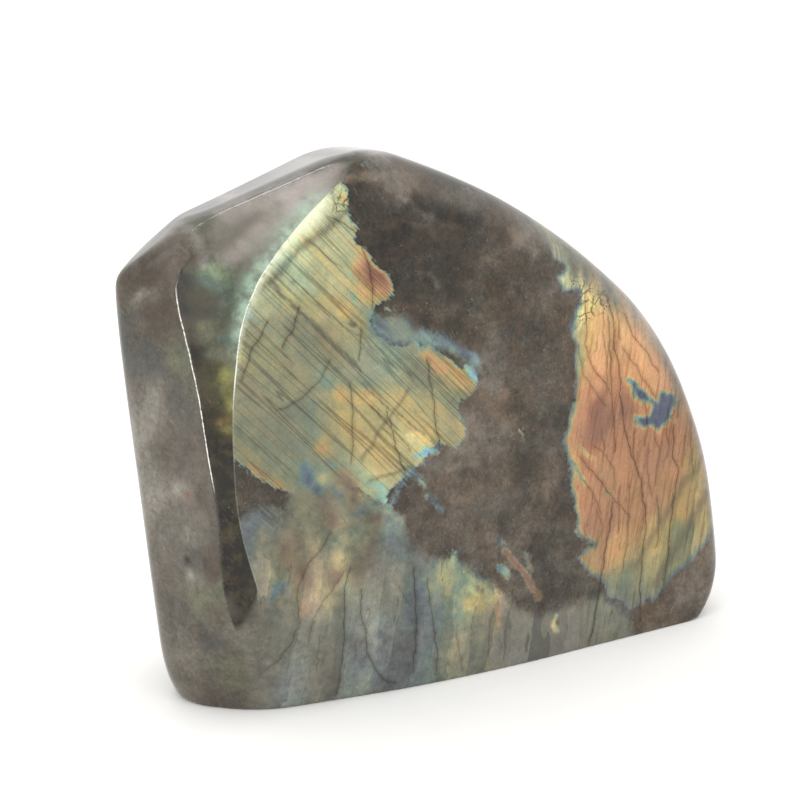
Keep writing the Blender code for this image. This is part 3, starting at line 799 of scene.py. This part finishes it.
def fromEdge(points, gapOf):
    # a difference of two depths turned into mm from the edge where it is nil
    gap = gapOf(points)
    slope = np.stack([(gapOf(points + step) - gap) / 0.05 for step in np.eye(3) * 0.05], 1)
    return gap / np.maximum(np.linalg.norm(slope, axis=1), 0.2)


def setAttribute(name, values):
    kind = "FLOAT_COLOR" if values.ndim == 2 else "FLOAT"
    layer = stoneObject.data.attributes.new(name, kind, "POINT")
    if values.ndim == 2:
        values = np.concatenate([values, np.ones((len(values), 1))], 1)
        layer.data.foreach_set("color", values.astype(np.float32).ravel())
    else:
        layer.data.foreach_set("value", values.astype(np.float32))


def paintBroadFaces():
    # the front's markings up to the parting, and the back's behind it
    flat, y = places[:, [0, 2]], places[:, 1]
    parting = spans["parting"]
    front, back = paintMarks(frontMarks, flat), paintMarks(backMarks, flat)
    painted = {name: np.where(y < parting, front[name], back[name]) for name in front}
    # the flash dies out before it gets round the edge between the broad faces
    painted["edge"] = np.minimum(painted["edge"], np.abs(y - parting) * 1.5 - 4)
    layers = crackLayers(frontMarks, flat, y < parting - 1, [])
    layers = crackLayers(backMarks, flat, y > parting + 1, layers)
    for index, layer in enumerate(layers):
        painted["crackSide%d" % index] = layer["side"]
        painted["crackNear%d" % index] = layer["near"]
    return painted, len(layers)


def findFaces():
    # how far each point is from the edges of the last cuts in mm, and its share of each face
    x, y, z = places.T
    faces = {name: fromEdge(places, lambda p: cutDepth(p) - lapped(p, stone[face])) for name, face
             in (("fromFront", "front"), ("fromLeft", "left"), ("fromRoof", "roof"))}
    faces["cut"] = ease(cutDepth(places), *spans["cut"])
    faces["chamfer"] = ease(faces["fromLeft"], -0.1, 0.1)
    faces["bevel"] = outermost(places, ["bevel"], 1.2) * ease(z, *spans["bevelRise"])
    faces["roof"] = outermost(places, ["roof"], 0.6)
    faces["rim"] = outermost(places, ["rim", "rimBevel"], 2.6) * ease(x, *spans["rim"])
    faces["back"] = ease(y, *spans["behind"]) * (1 - faces["roof"])
    return faces


def toneNarrowFaces(faces):
    flat, x, y, z = places[:, [0, 2]], *places.T
    tone = tonesOn("left", places[:, [1, 2]])
    chamfer = faces["chamfer"] * (1 - faces["bevel"]) * ease(y, *spans["chamferAhead"])
    for name, share in (("chamfer", chamfer), ("bevel", faces["bevel"]), ("roof", faces["roof"])):
        tone += (tonesOn(name, flat) - tone) * share[:, None]
    # the roof is painted darker towards the ridge and lighter towards its outline: painted shade and painted
    # reflection
    beyond = ease(-faces["fromRoof"], 1.5, 7.0)[:, None]
    tone *= 1 + faces["roof"][:, None] * (0.7 * beyond - 0.85)
    pearl = np.array(linear(sideMarks["palette"]["pearl"])[:3])
    # painted highlights: pale streaks of soft gloss mixed into the tone
    for path, width, border, strength in sideMarks["paintedSheens"]:
        beside, past = besidePath(flat, path)
        share = ease(np.abs(beside), width + border, width * 0.5) * strength * ease(past, 2.5, 0.0)
        tone += (pearl - tone) * (share * (1 - faces["roof"]))[:, None]
    slanting = z + 0.3 * (y + 10) + 1.2 * np.sin(y / 4 + z / 15)
    rim = tonesOn("rim", np.stack([x, slanting], 1))
    return tone + (rim - tone) * ease(x, *spans["rimTone"])[:, None]


def coverSides(faces):
    # where the narrow faces' own stone shows, not the broad faces' layers
    x, y, z = places.T
    foot = ease(z, *spans["foot"])
    onLeft = ease(lapped(places, stone["left"]), -0.5 - 3.0 * foot, 0.0)
    onSide = np.maximum(onLeft * (x < -30), faces["roof"]) * (1 - faces["back"] * (x > -40))
    backLeft = lapped(places, stone["back"][:1]) - lapped(places, stone["back"][1:2])
    onSide = np.maximum(onSide, faces["back"] * ease(backLeft, -1.6, 1.6))
    veil = sideMarks["rimVeil"]
    # the chamfer below its middle is marked for painted shade
    return {"onSide": onSide, "cutBorder": 0.06 + 4.0 * foot, "calm": 1 - 0.65 * faces["bevel"],
            "rimVeil": faces["rim"] * (veil + (1.3 - veil) * ease(y, *spans["rimCovered"])),
            "chamferShadeMask": faces["chamfer"] * faces["cut"] * ease(z, *spans["paintedChamferShade"])}


def lineCutEdges(faces):
    x, z = places[:, 0], places[:, 2]
    fromFront = faces["fromFront"]
    high, top = ease(z, *spans["high"]), ease(z, *spans["top"])
    shown = {}
    # in front of the crisp edge a painted highlight, tinted by the flash; behind it a fainter glow of the
    # flash seen through the edge
    shown["glow"] = (ease(-fromFront, 0.8 + 1.0 * high + 3.2 * top, 0.2)
                     * ease(x, *spans["glowLeft"]) * ease(z, *spans["glowRise"])
                     * (0.3 + 0.4 * high + 0.3 * top))
    shown["edgeGlow"] = (ease(fromFront, 2.4 + 1.8 * high, 0.1) * ease(z, *spans["edgeGlowRise"])
                         * ease(x, *spans["edgeGlowLeft"]) * (0.6 + 0.3 * high))
    # how plainly the painted highlights show as thin pale lines along the edges
    shown["frontEdgeHighlight"] = ((0.1 + 0.8 * ease(z, *spans["frontHighlightRise"])
                           - 0.6 * ease(z, *spans["frontHighlightFade"]))
                          * ease(z, *spans["frontHighlightFoot"]) * ease(z, *spans["frontHighlightTop"]))
    shown["leftEdgeHighlight"] = ease(z, *spans["leftHighlightFoot"]) * ease(z, *spans["leftHighlightTop"])
    shown["ridgeHighlight"] = (ease(z, *spans["ridgeRise"]) * ease(x, *spans["ridgeRight"])
                          * ease(x, *spans["ridgeLeft"]) * 0.5)
    shown = {name: values * faces["cut"] for name, values in shown.items()}
    return shown | {"fromFront": fromFront - 60 * faces["back"], "fromLeft": faces["fromLeft"],
                    "fromRoof": faces["fromRoof"]}


def placeTexture():
    # where the knots, twin layers, upright cracks, blocks and grain show
    flat, x, y, z = places[:, [0, 2]], *places.T
    ahead = ease(y, *spans["ahead"])     # one on the front half of the stone, zero behind
    knots = np.max([ease(np.hypot(*(flat - knot).T), 3.6, 1.8) for knot in frontMarks["knots"]],
                   axis=0)
    smoke = np.max([ease(insideDistance(flat, frontMarks["zones"][name][0]), -1.5, 1.0)
                    for name in ("smokeEast", "smokeLow")], axis=0)
    twinned = 0.1 + 0.9 * (ease(z, *spans["twinRise"]) * (1 - 0.85 * smoke))
    standing = np.maximum(0.8 * ease(x, *spans["uprightRight"]), ease(z, *spans["uprightDrop"]))
    blocky = 0.15 + 0.85 * ease(z, *spans["blockDrop"]) * ease(x, *spans["blockLeft"])
    return {"knots": ahead * knots,
            "layered": ease(x, *spans["twinLeft"]) * (twinned * ahead + 0.7 * (1 - ahead)),
            "upright": standing * ahead + (1 - ahead) * 0.6,
            "blocky": blocky * ahead + (1 - ahead) * 0.5,
            "grained": ease(x, *spans["grainRight"]) * ease(z, *spans["grainDrop"]) * ahead}


def paintAll():
    painted, crackCount = paintBroadFaces()
    faces = findFaces()
    painted["sideTone"] = toneNarrowFaces(faces)
    painted |= coverSides(faces) | lineCutEdges(faces) | placeTexture()
    for name, values in painted.items():
        setAttribute(name, values)
    return crackCount


crackCount = paintAll()
print("markings: painted,", crackCount, "layers of cracks")


def addNode(tree, kind, *inputs, out=None, stops=None, named=None, **settings):
    # Adds one node and gives its first or named output. A second word in kind is its operation
    # or data type. Inputs fill its sockets in order, as links or values.
    kind, _, choice = kind.partition(" ")
    node = tree.nodes.new("ShaderNode" + kind)
    if choice:
        setattr(node, "operation" if hasattr(node, "operation") else "data_type", choice)
    for name, value in settings.items():
        setattr(node, name, value)
    sockets = [socket for socket in node.inputs if socket.enabled]
    pairs = list(zip(sockets, inputs)) + [(node.inputs[name], value)
                                          for name, value in (named or {}).items()]
    for socket, value in pairs:
        if isinstance(value, bpy.types.NodeSocket):
            tree.links.new(value, socket)
        else:
            socket.default_value = value
    if stops:
        elements = node.color_ramp.elements
        while len(elements) < len(stops):
            elements.new(0.5)
        for element, (place, colour) in zip(elements, stops):
            element.position = place
            element.color = linear(colour)
    if not node.outputs:
        return node
    return node.outputs[out] if out else next(output for output in node.outputs if output.enabled)


labradorite = {
    "hues": [(0.0, "#4f4a86"), (0.1, "#46639c"), (0.2, "#6ba0bb"), (0.3, "#86b6a8"),
             (0.4, "#9db18b"), (0.5, "#b4b27b"), (0.6, "#c9b06c"), (0.7, "#cfa468"),
             (0.8, "#c48d62"), (0.9, "#a06a4e"), (1.0, "#784637")],
    "fringeHue": 0.2,
    "body": [(0.0, "#1c1a15"), (0.3, "#38342c"), (0.55, "#544e45"), (1.0, "#7e756b")],
    "warmTint": "#fbe6d0",
    "milk": "#8d8a82",
    # painted shade for the lower chamfer
    "chamferShadeColour": "#3c341e",
    "shadeColour": "#46443b",
    "glowColour": "#eef3cf",
    # painted highlight in front of the crisp edge, tinted by the flash
    "edgeGlowColour": "#aac4ae",
    "flecksColour": "#8f8470",
    "veinColour": "#4b3626",
    "crackColour": "#2a1f16",
    "crackTint": "#7a6350",
    "grainColour": "#b98e74",
    # painted highlights along the crisp edges
    "edgeHighlightColour": "#f4f3ec",
    "lineDark": 0.42,        # how dark the fine lines between the twin layers are, and the bands
    "bandDark": 0.45,
    "columnTone": 0.58,      # how much the columns between upright cracks differ
    "blockTone": 0.55,
    "silk": 0.07,
    "grain": 0.55,
    "seams": 0.75,
    "veins": 0.35,
    "sideVeins": 0.3,
    "uprightDark": 0.55,
    "ior": 1.56,
    "specular": 0.32,
    "polish": 0.09,
    "layerAngle": -46.0,     # twin layers, degrees from level on the front face
    "layerWidth": 0.45,      # mm, each drawn some ten times as wide as the real ones, to show
    "uprightAngle": 81.0,
    "uprightSpacing": 4.6,   # mm
    "hairAngle": -62.0,
}


# Labradorite: a feldspar grown in thin twin layers, lapped on a wheel and buffed to a gloss.
# To the eye it is a dark grey-brown glassy stone in which flat layers under the polish flash
# green, gold, copper and blue, crossed by the dark edges of the twin layers and hair cracks.
material = bpy.data.materials.new("labradoriteLappedAndBuffed")
material.use_nodes = True
material.node_tree.nodes.clear()
add = functools.partial(addNode, material.node_tree)
finish = labradorite
fact = {name: add("Attribute", out="Color" if name == "sideTone" else "Fac", attribute_name=name)
        for name in stoneObject.data.attributes.keys() if not name.startswith((".", "position"))}
where = add("VectorMath SCALE", add("TexCoord", out="Object"), 1000.0)     # places in mm


def streaks(angle, width, length, seed, detail=1.0):
    # noise drawn out along a direction on the broad faces, its width and length in mm
    turn = math.radians(angle)
    along = (math.cos(turn) / length, 0.0, math.sin(turn) / length)
    across = (-math.sin(turn) / width, 0.0, math.cos(turn) / width)
    u = add("VectorMath DOT_PRODUCT", where, along)
    v = add("VectorMath DOT_PRODUCT", where, across)
    place = add("CombineXYZ", u, v, seed)
    return add("TexNoise", place, 1.0, detail, 0.6)


def clouds(size, detail, seed=0.0):
    place = add("VectorMath ADD", where, (seed, seed, seed))
    return add("TexNoise", place, 1.0 / size, detail, 0.6)


def thinLine(value, width, soft):
    # one along the places where a value passes a half
    gap = add("Math SUBTRACT", value, 0.5)
    return add("MapRange", add("Math ABSOLUTE", gap), width, width + soft, 1.0, 0.0)


broad, middle, small = clouds(9.0, 6.0), clouds(2.4, 4.0, 31.0), clouds(0.75, 3.0, 77.0)
grit = clouds(0.34, 1.0, 13.0)
vein = thinLine(clouds(11.0, 4.0, 91.0), 0.002, 0.03)


def brokenBorder():
    # zone borders break along the layers and in small steps
    jag = add("Math SUBTRACT", streaks(finish["layerAngle"], 0.5, 5.0, 1.3, 2.0), 0.5)
    jag = add("Math MULTIPLY", jag, add("Math MULTIPLY_ADD", fact["layered"], 1.9, 0.5))
    jag = add("Math MULTIPLY_ADD", add("Math SUBTRACT", small, 0.5), 1.3, jag)
    jag = add("Math MULTIPLY_ADD", add("Math SUBTRACT", middle, 0.5), 1.6, jag)
    return add("Math ADD", fact["edge"], jag)


def twinLayers():
    # bundles of fine dark lines, each bundle and band drifting in hue
    angle, width = finish["layerAngle"], finish["layerWidth"]
    fine = streaks(angle, width, 26.0, 4.1)
    bands = streaks(angle, width * 3.6, 45.0, 6.3)
    bundles = streaks(angle, width * 12, 60.0, 7.7, 0.0)
    fineLines = add("MapRange", fine, 0.32, 0.44, 1.0, 0.0)
    fineLines = add("Math MULTIPLY", fineLines, add("MapRange", bundles, 0.42, 0.6, 0.1, 1.0))
    bandLines = thinLine(bands, 0.008, 0.03)
    dark = add("Math MAXIMUM", add("Math MULTIPLY", fineLines, finish["lineDark"]),
               add("Math MULTIPLY", bandLines, finish["bandDark"]))
    drift = add("Math MULTIPLY_ADD", bands, 0.2, add("Math MULTIPLY", fine, 0.08))
    drift = add("Math MULTIPLY_ADD", bundles, 0.16, drift)
    drift = add("Math SUBTRACT", drift, 0.23)
    return (add("Math MULTIPLY", dark, fact["layered"]),
            add("Math MULTIPLY", drift, fact["layered"]))


def uprightColumns():
    # upright hair cracks part the stone into columns, each a little different
    angle, gap = finish["uprightAngle"], finish["uprightSpacing"]
    tilt = math.radians(angle)
    across = add("VectorMath DOT_PRODUCT", where,
                 (math.sin(tilt) / gap, 0.0, -math.cos(tilt) / gap))
    across = add("Math MULTIPLY_ADD", streaks(angle, 5.0, 16.0, 3.7, 3.0), 2.6, across)
    column = add("Math ROUND", across)
    toEdge = add("Math ABSOLUTE", add("Math SUBTRACT", across, column))
    lines = add("MapRange", toEdge, 0.462, 0.494)
    broken = add("MapRange", streaks(angle, 3.0, 9.0, 8.2), 0.44, 0.56)
    lines = add("Math MULTIPLY", add("Math MULTIPLY", lines, broken), fact["upright"])
    own = add("TexWhiteNoise", column, noise_dimensions="1D")
    own = add("Math MULTIPLY", add("Math SUBTRACT", own, 0.5), fact["upright"])
    return lines, add("Math MULTIPLY_ADD", own, finish["columnTone"], 1.0)


def brokenBlocks():
    # broken cells of the crystal, each with its own tone
    squeezed = add("VectorMath MULTIPLY", where, (1 / 4.4, 1 / 4.4, 1 / 8.5))
    squeezed = add("VectorMath MULTIPLY_ADD", clouds(1.6, 4.0, 21.0), (0.5, 0.5, 0.3), squeezed)
    block = add("TexVoronoi", squeezed, 1.0, 0.12, out="Color", feature="SMOOTH_F1")
    block = add("MapRange", block, 0.2, 0.8, -0.5, 0.5)
    mottle = add("MapRange", clouds(1.5, 5.0, 41.0), 0.34, 0.66, -0.5, 0.5)
    block = add("Math MULTIPLY_ADD", mottle, 0.55, block)
    return add("Math MULTIPLY", block, fact["blocky"])


def flashHue(edge, drift, columnTone, block):
    # the place's own hue, drifting from layer to layer, turning blue at some of the borders
    hue = add("Math MULTIPLY_ADD", fact["hue"], 0.1, drift)
    hue = add("Math MULTIPLY_ADD", middle, 0.14, hue)
    hue = add("Math MULTIPLY_ADD", block, 0.13, hue)
    hue = add("Math MULTIPLY_ADD", columnTone, 0.22, hue)
    hue = add("Math SUBTRACT", hue, 0.31)
    fringe = add("MapRange", clouds(5.0, 1.0, 55.0), 0.42, 0.6, 0.05, 1.1)
    fringe = add("Math MULTIPLY", fringe, fact["soft"])
    within = add("MapRange", edge, 0.0, fringe)
    hue = add("Mix", within, finish["fringeHue"], hue)
    colour = add("ValToRGB", hue, stops=finish["hues"])
    haze = add("Math ADD", add("MapRange", broad, 0.35, 0.65, -0.1, 0.12), fact["haze"])
    haze = add("Math ADD", haze, add("MapRange", within, 0.0, 1.0, 0.4, 0.0), use_clamp=True)
    return add("Mix RGBA", haze, colour, linear(finish["milk"]))


def flashLight(layerDark, columnTone, block):
    light = add("Math MULTIPLY", add("MapRange", middle, 0.3, 0.7, 0.86, 1.12), fact["bright"])
    light = add("Math MULTIPLY", light, add("MapRange", small, 0.3, 0.7, 0.93, 1.07))
    light = add("Math MULTIPLY", light, add("MapRange", grit, 0.3, 0.7, 0.92, 1.08))
    light = add("Math MULTIPLY", light, add("Math SUBTRACT", 1.0, layerDark))
    light = add("Math MULTIPLY", light, columnTone)
    silk = streaks(finish["uprightAngle"], 0.45, 7.0, 2.2, 2.0)
    silk = add("MapRange", silk, 0.3, 0.7, -finish["silk"], finish["silk"])
    silk = add("Math MULTIPLY_ADD", silk, fact["upright"], 1.0)
    light = add("Math MULTIPLY", light, silk)
    return add("Math MULTIPLY", light, add("Math MULTIPLY_ADD", block, finish["blockTone"], 1.0))


def grainAndKnots(colour):
    # the grain of the coppery part: brown streaks between hair cracks
    grain = streaks(finish["uprightAngle"] - 4, 0.9, 13.0, 12.0, 3.0)
    grain = add("MapRange", grain, 0.5, 0.66, 0.0, finish["grain"])
    grain = add("Math MULTIPLY", grain, fact["grained"])
    colour = add("Mix RGBA", grain, colour, linear(finish["grainColour"]), blend_type="MULTIPLY")
    # knots: small rounded cells of brighter flash with dark seams
    kinked = add("VectorMath MULTIPLY_ADD", clouds(1.6, 2.0, 5.0), (3.0, 3.0, 3.0), where)
    seams = add("TexVoronoi", kinked, 0.42, feature="DISTANCE_TO_EDGE")
    seams = add("Math MULTIPLY", add("MapRange", seams, 0.02, 0.09, 1.0, 0.0), fact["knots"])
    seams = add("Math MULTIPLY", seams, finish["seams"])
    return add("Mix RGBA", seams, colour, linear(finish["crackColour"]))


def paleFlecks():
    # fine scratches and small pale flecks in the dark stone
    hairs = add("MapRange", streaks(finish["hairAngle"], 0.35, 2.2, 5.5, 2.0), 0.6, 0.74, 0.0, 0.3)
    hairs = add("Math MULTIPLY", hairs, add("MapRange", clouds(6.0, 2.0, 17.0), 0.45, 0.62))
    pale = add("MapRange", clouds(0.5, 0.0, 7.0), 0.75, 0.82, 0.0, 0.4)
    pale = add("Math MULTIPLY", pale, add("MapRange", clouds(8.0, 1.0, 3.0), 0.45, 0.6))
    return add("Math MAXIMUM", hairs, pale)


def darkStone(pale):
    # the dark stone between the zones: cloudy, with brown veins
    tone = add("Math MULTIPLY_ADD", broad, 1.1, fact["tone"])
    tone = add("Math MULTIPLY_ADD", middle, 0.64, tone)
    tone = add("Math MULTIPLY_ADD", small, 0.46, tone)
    tone = add("Math MULTIPLY_ADD", grit, 0.34, tone)
    tone = add("Math SUBTRACT", tone, 1.21)
    body = add("ValToRGB", tone, stops=finish["body"])
    warm = add("MapRange", clouds(8.0, 3.0, 51.0), 0.42, 0.62, 0.0, 0.8)
    body = add("Mix RGBA", warm, body, linear(finish["warmTint"]), blend_type="MULTIPLY")
    veins = add("Math MULTIPLY", vein, finish["veins"])
    body = add("Mix RGBA", veins, body, linear(finish["veinColour"]))
    return add("Mix RGBA", pale, body, linear(finish["flecksColour"]))


def narrowFaces(block, pale):
    # cloudy stone, with painted shade low in the chamfer and the flash behind its crisp edge
    side = add("Math MULTIPLY_ADD", broad, 0.6, add("Math MULTIPLY", middle, 0.8))
    side = add("Math MULTIPLY_ADD", small, 0.7, side)
    side = add("Math MULTIPLY_ADD", grit, 0.3, side)
    side = add("Math MULTIPLY_ADD", block, 0.25, side)
    side = add("MapRange", side, 0.88, 1.52, -0.41, 0.43)
    side = add("Math MULTIPLY_ADD", side, fact["calm"], 1.0)
    side = add("Mix RGBA", 1.0, fact["sideTone"], side, blend_type="MULTIPLY")
    veins = add("Math MULTIPLY", add("Math MULTIPLY", vein, finish["sideVeins"]), fact["calm"])
    side = add("Mix RGBA", veins, side, linear(finish["veinColour"]))
    pale = add("Math MULTIPLY", pale, 0.7)
    side = add("Mix RGBA", pale, side, linear(finish["flecksColour"]))
    # painted shade: the lower chamfer darkened by a murky colour
    paintedChamferShade = add("MapRange", middle, 0.5, 0.64, 0.0, 0.7)
    paintedChamferShade = add("Math MULTIPLY", paintedChamferShade, fact["chamferShadeMask"])
    side = add("Mix RGBA", paintedChamferShade, side, linear(finish["chamferShadeColour"]))
    behindEdge = add("MapRange", middle, 0.35, 0.62, 1.0, 0.25)
    behindEdge = add("Math MULTIPLY", fact["edgeGlow"], behindEdge)
    return add("Mix RGBA", behindEdge, side, linear(finish["edgeGlowColour"]))


def onNarrowFaces():
    before = add("Math MULTIPLY", fact["cutBorder"], -1.0)
    onCut = add("MapRange", fact["fromFront"], before, fact["cutBorder"])
    onCut = add("Math MULTIPLY", onCut, add("MapRange", fact["fromFront"], 60.0, 61.0, 1.0, 0.0))
    return add("Math MAXIMUM", onCut, fact["onSide"])


def hairCracks(colour, upright, onSide):
    # dark thin lines with a faint halo, wavering a little
    shiver = add("Math MULTIPLY_ADD", small, 0.6, -0.3)
    cracks = add("Math MULTIPLY", upright, finish["uprightDark"])
    for index in range(crackCount):
        beside = add("Math ADD", fact["crackSide%d" % index], shiver)
        beside = add("Math ABSOLUTE", beside)
        line = add("MapRange", beside, 0.06, 0.28, 1.0, 0.0)
        halo = add("MapRange", beside, 0.1, 0.9, 0.42, 0.0)
        line = add("Math MAXIMUM", line, halo)
        line = add("Math MULTIPLY", line, fact["crackNear%d" % index])
        cracks = add("Math MAXIMUM", cracks, line)
    cracks = add("Math MULTIPLY", cracks, add("MapRange", grit, 0.3, 0.55, 0.6, 0.92))
    cracks = add("Math MULTIPLY", cracks, add("Math SUBTRACT", 1.0, onSide))
    return add("Mix RGBA", cracks, colour, linear(finish["crackTint"]), blend_type="MULTIPLY")


def crispEdges(colour, onSide):
    # a painted highlight in front of the crisp edge, and painted highlights as thin pale lines along the
    # edges
    glow = add("Math MULTIPLY", fact["glow"], add("MapRange", small, 0.3, 0.6, 0.7, 1.0))
    glow = add("Math MULTIPLY", glow, add("Math SUBTRACT", 1.0, onSide))
    colour = add("Mix RGBA", glow, colour, linear(finish["glowColour"]))
    for name, strength in (("fromFront", "frontEdgeHighlight"), ("fromLeft", "leftEdgeHighlight"),
                           ("fromRoof", "ridgeHighlight")):
        line = add("MapRange", add("Math ABSOLUTE", fact[name]), 0.05, 0.17, 1.0, 0.0)
        line = add("Math MULTIPLY", line, fact[strength])
        line = add("Math MULTIPLY", line, add("MapRange", small, 0.34, 0.5, 0.45, 1.0))
        colour = add("Mix RGBA", line, colour, linear(finish["edgeHighlightColour"]))
    return colour


def makeLabradorite():
    edge = brokenBorder()
    layerDark, drift = twinLayers()
    upright, columnTone = uprightColumns()
    block, pale = brokenBlocks(), paleFlecks()
    flash = flashHue(edge, drift, columnTone, block)
    light = flashLight(layerDark, columnTone, block)
    flash = grainAndKnots(add("Mix RGBA", 1.0, flash, light, blend_type="MULTIPLY"))

    inZone = add("MapRange", edge, 0.0, fact["soft"], interpolation_type="SMOOTHSTEP")
    colour = add("Mix RGBA", inZone, darkStone(pale), flash)
    colour = add("Mix RGBA", fact["shade"], colour, linear(finish["shadeColour"]))
    side, onSide = narrowFaces(block, pale), onNarrowFaces()
    veil = add("Math MULTIPLY", fact["rimVeil"], add("MapRange", middle, 0.3, 0.7, 1.0, 0.8))
    colour = add("Mix RGBA", veil, colour, side)
    colour = add("Mix RGBA", onSide, colour, side)
    colour = crispEdges(hairCracks(colour, upright, onSide), onSide)

    rough = add("MapRange", middle, 0.3, 0.7, finish["polish"] * 0.8, finish["polish"] * 1.3)
    ripple = add("Bump", named={"Height": middle, "Distance": 0.00003, "Strength": 0.5})
    shader = add("BsdfPrincipled", named={
        "Base Color": colour, "Roughness": rough, "Normal": ripple, "IOR": finish["ior"],
        "Specular IOR Level": finish["specular"]})
    add("OutputMaterial", shader)


makeLabradorite()
stoneObject.data.materials.append(material)
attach(stoneObject, "root")
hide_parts("labradorite_chunk")
print("labradorite: material made")

studio = {
    "floorSize": 6.0,           # half its side, m
    "floorColour": "#fbfaf8",
    "floorTooth": "#f7f6f3",
    "cameraPlace": (-215.7, -342.3, 170.0),     # mm
    "cameraTilt": 74.0,         # degrees up from straight down
    "cameraTurn": -31.4,
    "lens": 90.0,               # mm on a 36 mm wide sensor
    "sensor": 36.0,
    "worldLight": 1.25,
    "aim": (0, 0, 50.0),        # the lights face this place
    # name, place in mm, size in mm, power in watts
    "lights": [("overhead", (-60, 60, 620), 520, 0.5),
               ("leftBox", (-560, -120, 260), 380, 0.4),
               ("backBox", (120, 620, 420), 420, 0.3)],
}


def makeStage():
    floorMesh = bmesh.new()
    bmesh.ops.create_grid(floorMesh, x_segments=1, y_segments=1,
                            size=studio["floorSize"])
    mesh = bpy.data.meshes.new("paperFloor")
    floorMesh.to_mesh(mesh)
    floorMesh.free()
    floor = bpy.data.objects.new("paperFloor", mesh)
    bpy.context.scene.collection.objects.link(floor)
    # seamless paper: matt white, its tooth too fine to see from here
    paper = bpy.data.materials.new("seamlessPaperMatt")
    paper.use_nodes = True
    shader = paper.node_tree.nodes["Principled BSDF"]
    tooth = addNode(paper.node_tree, "TexNoise", named={"Scale": 900.0, "Detail": 2.0})
    tint = addNode(paper.node_tree, "Mix RGBA", tooth, linear(studio["floorColour"]),
                   linear(studio["floorTooth"]))
    paper.node_tree.links.new(tint, shader.inputs["Base Color"])
    shader.inputs["Roughness"].default_value = 0.9
    shader.inputs["Specular IOR Level"].default_value = 0.1
    mesh.materials.append(paper)


def makeLight():
    world = bpy.data.worlds.new("lightTent")
    bpy.context.scene.world = world
    world.use_nodes = True
    background = world.node_tree.nodes["Background"]
    background.inputs["Color"].default_value = (1.0, 1.0, 1.0, 1.0)
    background.inputs["Strength"].default_value = studio["worldLight"]
    for name, place, size, power in studio["lights"]:
        light = bpy.data.lights.new(name, "AREA")
        light.size = size * mm
        light.energy = power
        box = bpy.data.objects.new(name, light)
        box.location = [side * mm for side in place]
        aim = np.array(studio["aim"]) - place
        box.rotation_euler = (math.atan2(np.hypot(aim[0], aim[1]), -aim[2]), 0,
                              math.atan2(aim[1], aim[0]) - math.pi / 2)
        box.visible_camera = False
        bpy.context.scene.collection.objects.link(box)


def makeCamera():
    camera = bpy.data.objects.new("camera", bpy.data.cameras.new("camera"))
    camera.data.lens = studio["lens"]
    camera.data.sensor_width = studio["sensor"]
    camera.data.clip_start = 0.01
    camera.location = [side * mm for side in studio["cameraPlace"]]
    camera.rotation_euler = (math.radians(studio["cameraTilt"]), 0,
                             math.radians(studio["cameraTurn"]))
    bpy.context.scene.collection.objects.link(camera)
    bpy.context.scene.camera = camera


makeStage()
makeLight()
makeCamera()
bpy.context.scene.view_settings.view_transform = "Standard"   # keeps white paper white
print("stage: floor, lights and camera set")
